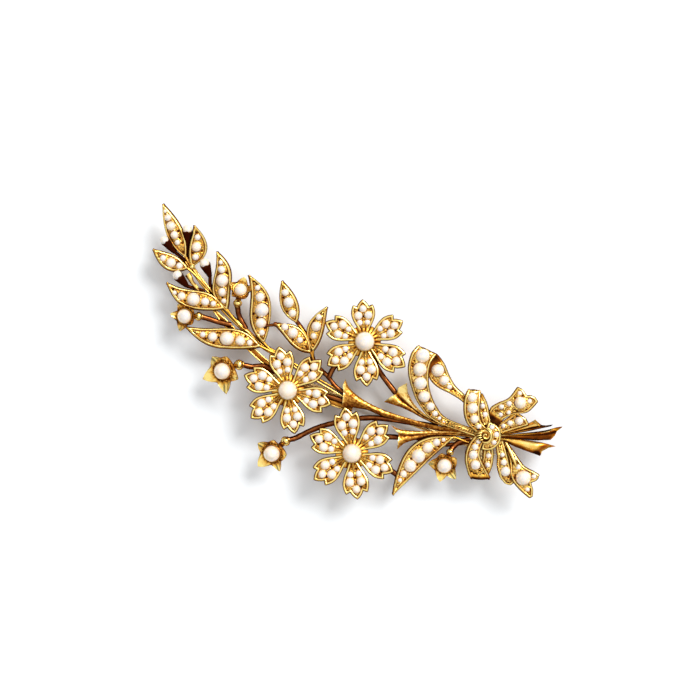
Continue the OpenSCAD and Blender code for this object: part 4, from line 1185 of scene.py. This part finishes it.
def add_fold(piece, rails, tones, neck, scoop, deep):
    """A folded sheet over its rails, with painted shade on its sides and underside, and a hollow
    mouth painted dark inside.
    """
    lines = np.array([curve(np.reshape(r, (-1, 3)), RAIL_STEPS) for r in rails])
    part = np.linspace(0, 1, BETWEEN_RAILS, endpoint=False)
    top, tone = [], []
    for k in range(len(lines) - 1):
        for u in part:
            top.append(lines[k] * (1 - u) + lines[k + 1] * u + UP * 0.06 * math.sin(math.pi * u))
            tone.append(tones[k] * (1 - u) + tones[k + 1] * u)
    top.append(lines[-1])
    tone.append(tones[-1])
    top = np.array(top).transpose(1, 0, 2)
    tone = np.array(tone)
    m, n = top.shape[:2]
    scooped = (bump(np.arange(m) - scoop[0], scoop[1])[:, None]
               * np.interp(np.arange(n) / BETWEEN_RAILS, np.arange(len(neck)), scoop[2]))
    top[:, :, 2] -= 0.3 * scooped
    across = unit(top[:, -1] - top[:, 0])
    inset = np.interp(np.arange(n), [0, 2, n - 3, n - 1], [0.1, 0, 0, -0.1])
    over = np.linspace(0, 1, n)
    chord = top[:, :1] * (1 - over)[:, None] + top[:, -1:] * over[:, None]
    low = np.minimum(top[:, :, 2], chord[:, :, 2]) - deep
    under = top + across[:, None] * inset[None, :, None]
    under[:, :, 2] = low
    rings = np.concatenate([top, under[:, ::-1]], 1)
    along = unit(top[1] - top[0])
    along = np.concatenate([along, along[::-1]])
    # Inside of the mouth, painted dark as shade
    lid = np.concatenate([top[0] - UP * 0.13 + across[0] * inset[:, None],
                          under[0][::-1] + UP * 0.1])
    lid += along * 0.02
    back = lid + along * 0.7
    back[:, 2] = back[:, 2] * 0.5 + back[:, 2].mean() * 0.5
    order = [back, lid, *rings]
    # Painted shade: black inside the mouth, the rails' tones on the face, darker in the scoop and
    # underneath. The lip of the mouth is lighter
    shade = [np.full(2 * n, 1.0), np.full(2 * n, 0.75)]
    stripe = np.interp(np.arange(n) / BETWEEN_RAILS, np.arange(len(neck)), neck)
    for i in range(m):
        narrow = smooth_step(i / m, 0.12, 0.45)
        face = (tone * (1 - narrow) + stripe * narrow
                - 0.45 * bump(i, 2.5) * (1 - scooped[i]) + 0.85 * scooped[i])
        shade.append(np.concatenate([face, np.full(n, 0.9)]))
    add_rings(piece, [r[::-1] for r in order], np.array([d[::-1] for d in shade]))


for kind, material, deep, folds in (
        ("sheath", HAMMERED, 0.55, zip(SHEATHS, SHEATH_TONES, SHEATH_NECKS, [NO_SCOOP] * 3)),
        ("stem_end", PLAIN, 0.45, zip(STEM_ENDS, STEM_TONES, STEM_NECKS, SCOOPS))):
    for i, fold in enumerate(folds):
        piece = Piece()
        add_fold(piece, *fold, deep)
        piece.build(f"{kind}_{i + 1}_fold", material, nodes=[f"{kind}_{i + 1}"], sharp=30)

# ---- ribbon bow

# Stations [left x, y, z, right x, y, z] of each ribbon band
BANDS = {
    "large_front": [
        [12.1, 13, 6.2, 9, 12.8, 6.3], [12, 11.6, 6.5, 8.85, 11.4, 6.7],
        [12.6, 9.9, 6.5, 9.5, 9.3, 6.6], [13.9, 8, 6.2, 11.1, 7.3, 6.3],
        [16, 6.3, 5.8, 13.7, 5.3, 5.8], [18.6, 5.5, 5.4, 17.2, 4.3, 5.4],
        [24, 6.4, 5.4, 23.6, 5.4, 5.3]],
    "large_back": [
        [11.2, 13.1, 5.5, 11.2, 11, 5.3], [12.4, 13.2, 5.4, 12.2, 10.4, 5.2],
        [14, 12.5, 5.2, 13.4, 9.5, 5], [15.6, 11.3, 5, 15, 9.1, 4.9],
        [17.2, 10.4, 4.9, 17.1, 9.2, 4.8], [19.4, 9.9, 4.8, 19.3, 9.1, 4.8],
        [22, 9.1, 4.6, 21.6, 8.3, 4.6], [24.4, 7.9, 4.7, 23.9, 7.2, 4.7]],
    "upper_front": [
        [20.9, 11.6, 6.1, 19.1, 10.8, 6.2], [21.6, 10.2, 6.4, 19.3, 9.6, 6.5],
        [22.3, 8.8, 6.3, 20.3, 7.7, 6.4], [23.3, 7.7, 6.1, 21.8, 6.4, 6.1],
        [24.9, 7.2, 5.9, 24.3, 5.9, 5.9]],
    "upper_back": [
        [21.3, 11.5, 5.5, 20.3, 10.8, 5.5], [22.6, 10.6, 5.4, 21.6, 9.6, 5.4],
        [23.6, 9.6, 5.4, 22.5, 8.7, 5.4], [24.8, 8.2, 5.5, 23.8, 7.5, 5.5]],
    "lower_front": [
        [25.2, 5.8, 6, 23.8, 6, 6], [25.2, 4.4, 6.1, 23.4, 4.3, 6.1],
        [25.6, 3.2, 6.1, 23.6, 2.6, 6.1], [26.6, 2.3, 6, 24.3, 1.2, 6],
        [28.2, 1.3, 5.6, 25.6, -0.1, 5.6]],
    "lower_back": [
        [26.6, 1.3, 4.8, 28.3, 1.4, 4.8], [26.5, 2.6, 4.9, 28.1, 2.7, 4.9],
        [26, 3.9, 5, 27.5, 4.2, 5], [25.4, 5.2, 5.1, 26.7, 5.4, 5.1]],
    "upper_tail": [
        [24.5, 8.2, 5.4, 25.9, 8.2, 5.4], [23.6, 10, 5.6, 26, 9.8, 5.6],
        [24.1, 11.4, 5.9, 27, 11.2, 5.9], [25.2, 13, 6.1, 28.6, 12.6, 6.1],
        [25.5, 15.1, 6, 29.2, 14.7, 6]],
    "upper_tail_fold": [
        [25.6, 8.3, 4.8, 26.9, 7.8, 4.8], [26.4, 9.7, 4.8, 28, 9, 4.8],
        [27.2, 11.5, 4.9, 29.8, 10.9, 4.9]],
    "lower_tail": [
        [27.6, 6.9, 5.6, 26.9, 5.9, 5.6], [29.2, 5.4, 5.6, 28.1, 4.5, 5.6],
        [30.4, 4.1, 5.4, 28.9, 3.1, 5.4], [31.5, 3, 5.2, 30.1, 1.9, 5.2],
        [32.3, 2.2, 5, 31.3, 1.4, 5]],
    "lower_tail_fold": [
        [28.2, 7, 4.9, 27.8, 6.2, 4.9], [29.8, 6.3, 5, 29.3, 5.4, 5],
        [31.2, 5.6, 5.3, 30.4, 4.4, 5.3], [32.4, 5.1, 5.6, 31.7, 2.6, 5.6],
        [34, 5.1, 5.8, 33.5, 1.8, 5.8], [35.1, 5.1, 5.8, 35.4, 1.4, 5.8]],
    "knot": [
        [24.3, 8.3, 6.3, 24.5, 7.2, 6.5], [25.3, 8.4, 6.3, 25.2, 7.15, 6.6],
        [26.3, 8.1, 6.35, 25.6, 6.9, 6.6], [27, 7.2, 6.35, 25.85, 6.55, 6.6],
        [27.25, 6.3, 6.35, 25.9, 6.1, 6.6], [27, 5.3, 6.35, 25.75, 5.6, 6.6],
        [26.3, 4.5, 6.35, 25.5, 5.3, 6.5], [25.4, 4.1, 6.3, 25.2, 5.1, 6.4]],
}


def rolled(rows, bulge, drop, at_end):
    """Adds the turned-over fold to one end of a band's stations."""
    rows = [list(r) for r in rows]
    if at_end:
        rows = rows[::-1]
    first, second = np.array(rows[0]), np.array(rows[1])
    away = unit((first[:3] + first[3:] - second[:3] - second[3:]) * [1, 1, 0])
    extra = []
    for angle in (180, 140, 105, 70, 35):
        a = math.radians(angle)
        move = away * bulge * math.sin(a) - UP * drop / 2 * (1 - math.cos(a))
        extra.append([*(first[:3] + move), *(first[3:] + move)])
    rows = extra + rows
    return rows[::-1] if at_end else rows


# Bands that turn over: bulge, drop, and whether at the far end
ROLLS = {"large_front": (0.22, 0.85, False), "upper_front": (0.2, 0.7, False),
         "lower_front": (0.85, 1.1, True)}
# Points of the cut ends [t / half width, step outwards]
ENDS = {"upper_tail": [(-0.96, 0.1), (-0.6, 0.28), (-0.25, 0.12), (0.0, -0.3), (0.25, -0.1),
                       (0.6, 0.12), (0.95, 0.05)],
        "upper_tail_fold": [(-0.8, 0.2), (-0.2, 0.45), (0.5, 0.35), (0.9, 0.1)],
        "lower_tail": [(-0.8, 0.15), (-0.1, 0.35), (0.7, 0.15)],
        "lower_tail_fold": [(-0.97, 0.2), (-0.75, 0.4), (-0.3, 0.0), (0.08, -0.8), (0.3, -0.45),
                            (0.5, -0.15), (0.75, 0.0), (0.96, -0.1)]}
NODE_BANDS = {
    "bow_large_loop_front": ["large_front"], "bow_large_loop_back": ["large_back"],
    "bow_upper_loop": ["upper_front", "upper_back"],
    "bow_lower_loop": ["lower_front", "lower_back"],
    "bow_upper_tail": ["upper_tail", "upper_tail_fold"],
    "bow_lower_tail": ["lower_tail", "lower_tail_fold"], "bow_knot": ["knot"],
}
KNOT_CROWN = 0.06
bow_bands = {}
for key, rows in BANDS.items():
    if key in ROLLS:
        rows = rolled(rows, *ROLLS[key])
    bow_bands[key] = Band(rows, 10, KNOT_CROWN if key == "knot" else CROWN)
bow_pearls = balls("bow_pearls")
bow_seats = dict(zip(bow_bands, share(bow_pearls, list(bow_bands.values()))))
# How far each ribbon's rim runs on past its start and end, where it turns over or goes in under
# another
PAST = {"upper_tail": (2, 0), "upper_tail_fold": (2, 0), "lower_tail": (2, 0),
        "lower_tail_fold": (2, 0), "knot": (0, 0)}
# Bands that go in under another, painted with shade there: how dark, and from where to where it
# fades
SHADED = {"large_back": (0.85, 1.2, 2.8), "upper_back": (0.4, 0.2, 1.2),
          "lower_back": (0.4, 0.2, 1.0), "upper_tail": (1.05, 1.1, 1.8)}


def turned(key, band):
    """Where a ribbon is left plain, and the painted shade there."""
    if key in ROLLS:
        at_end = ROLLS[key][2]
        roll = band.length - band.s[-51] if at_end else band.s[50]
        first = 0.3 if at_end else 0.1

        def plain(points):
            far = band.length - points[:, 0] if at_end else points[:, 0]
            # Painted shade: a little on the roll, dark where it turns under
            still = 1 - smooth_step(far, roll * 0.9, roll * 0.9 + 0.3)
            dim = 1 - smooth_step(far, roll * 0.68, roll * 0.84)
            return still, first * still + (1.1 - first) * dim
        return plain
    if key in SHADED:
        dark, lo, hi = SHADED[key]
        return lambda points: (1 - smooth_step(points[:, 0], hi - 0.4, hi),
                               dark * (1 - smooth_step(points[:, 0], lo, hi)))
    return None


for node, keys in NODE_BANDS.items():
    piece = Piece()
    for key in keys:
        band = bow_bands[key]
        ends = ENDS.get(key, ())
        add_plate(piece, band.outline(end=ends), band.place, RIBBON_THICK, bow_seats[key],
                  edge=band.outline(end=ends, past=PAST.get(key, (2, 2))),
                  plain=turned(key, band), bed_tone=RIBBON_TONE)
    if node == "bow_lower_tail":
        add_tube(piece, [[28.4, 6.75, 5.5, .2, .2], [29.4, 6.05, 5.7, .28, .24],
                         [30.6, 5.15, 5.85, .26, .24], [31.4, 4.5, 5.8, .15, .15]], patina=0.0)
    if node == "bow_lower_loop":
        add_bead(piece, (26.95, 1.5, 5.9), 0.24)
    if node == "bow_knot":
        # Hub, then the turned-in edge, the curl and the pleats of the knot
        turn = turns(64)
        hub = np.array([24.9, 6.25])
        pleat = 1 + 0.05 * np.cos(turn * 11)
        rows = [(0.5, 4.2), (1.5, 4.2), (1.2, 4.7), (1.0, 5.1), (1.0, 5.9)]
        rings = [level_ring(hub, r * pleat, turn, z) for r, z in rows]
        tones = [np.full(64, 0.45)] * len(rows)
        for r in np.linspace(1.0, 0.04, 22):
            swirl = np.cos(turn - 2 * np.pi * r / 0.6)
            z = 6.3 + 0.4 * (1 - r * r) + 0.09 * swirl * smooth_step(1.05 - r, 0, 0.15)
            rings.append(level_ring(hub, r, turn, z))
            tones.append(0.25 - 0.3 * swirl)
        add_rings(piece, rings, np.clip(tones, 0, 1))
        add_tube(piece, [[24.35, 7.25, 6.5, .12, .14], [25.0, 7.15, 6.75, .17, .18],
                         [25.5, 6.8, 6.8, .18, .2], [25.8, 6.2, 6.8, .18, .2],
                         [25.7, 5.6, 6.75, .18, .2], [25.3, 5.25, 6.65, .17, .18],
                         [24.9, 5.2, 6.5, .12, .14]], patina=0.0)
        for x0, y0, x1, y1 in (
                (24.3, 6.7, 23.5, 6.15), (24.2, 6.35, 23.45, 5.75), (24.3, 6.0, 23.65, 5.4),
                (24.5, 5.7, 23.95, 5.15), (24.8, 5.5, 24.4, 5.05)):
            add_tube(piece, [[x0, y0, 6.55, .1, .1],
                             [(x0 + x1) / 2 - .05, (y0 + y1) / 2, 6.62, .13, .13],
                             [x1, y1, 6.35, .1, .1]], patina=0.05)
    piece.build(node + "_ribbon", GOLD, nodes=[node])
pearl_piece("bow_nacre", bow_pearls, ["bow_pearls"], grow=BOW_GROW)

# ---- pin and catch

for name in ("hinge_bracket", "hinge_rivet", "pin", "catch", "catch_sleeve"):
    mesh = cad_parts[name].data
    mesh.materials.clear()
    mesh.materials.append(FINDING)

# ---- floor, light and camera

FLOOR_HALF = 3.0
floor_mesh = bpy.data.meshes.new("floor")
floor_mesh.from_pydata([(x * FLOOR_HALF, y * FLOOR_HALF, 0)
                        for x, y in ((-1, -1), (1, -1), (1, 1), (-1, 1))], [], [(0, 1, 2, 3)])
floor = new_object("floor", floor_mesh)
floor.location.z = float(cad_box[0][2])
mat, tree, shader = nodes_for("paper_white")
set_inputs(shader, {"Base Color": (0.90, 0.925, 0.943, 1), "Roughness": 0.9,
                    "Specular IOR Level": 0.0})
floor_mesh.materials.append(mat)

world = bpy.data.worlds.new("studio")
bpy.context.scene.world = world
world.use_nodes = True
tree = world.node_tree
background = tree.nodes["Background"]
paths = tree.nodes.new("ShaderNodeLightPath")
mix = tree.nodes.new("ShaderNodeMix")
mix.data_type = "RGBA"
spread = tree.nodes.new("ShaderNodeTexCoord")
# The light from the dome is brightest nearly overhead. Seen directly, it is plain white
apart = tree.nodes.new("ShaderNodeVectorMath")
apart.operation = "DOT_PRODUCT"
apart.inputs[1].default_value = (0.03, 0.15, 0.99)
tree.links.new(spread.outputs["Generated"], apart.inputs[0])
dome = ramp_node(tree, apart.outputs["Value"], [
    (height, (grey,) * 3) for height, grey in ((0.0, 0.12), (0.3, 0.2), (0.55, 0.7), (0.75, 1.0))])
tree.links.new(dome, mix.inputs["A"])
mix.inputs["B"].default_value = (1, 1, 1, 1)
tree.links.new(paths.outputs["Is Camera Ray"], mix.inputs["Factor"])
tree.links.new(mix.outputs["Result"], background.inputs["Color"])


key = bpy.data.lights.new("key", "SUN")
key.energy = 2.4
key.angle = math.radians(28)
new_object("key", key).rotation_euler = (
    Vector((0.16, 0.67, 0.73)).to_track_quat("Z", "Y").to_euler())

# Straight down on the front, turned, with this much of the scene across the frame
VIEW_TURN = math.radians(30)
VIEW_CENTRE = Vector((0.32, 7.22, 5.0)) * MM
VIEW_WIDTH = 107.6923076923077 * MM
data = bpy.data.cameras.new("camera")
data.sensor_width = 36
data.lens = 135
data.clip_start, data.clip_end = 0.01, 20
camera = new_object("camera", data)
camera.location = VIEW_CENTRE + Vector((0, 0, VIEW_WIDTH * data.lens / data.sensor_width))
camera.rotation_euler = (0, 0, VIEW_TURN)
bpy.context.scene.camera = camera
bpy.context.scene.view_settings.view_transform = "Standard"
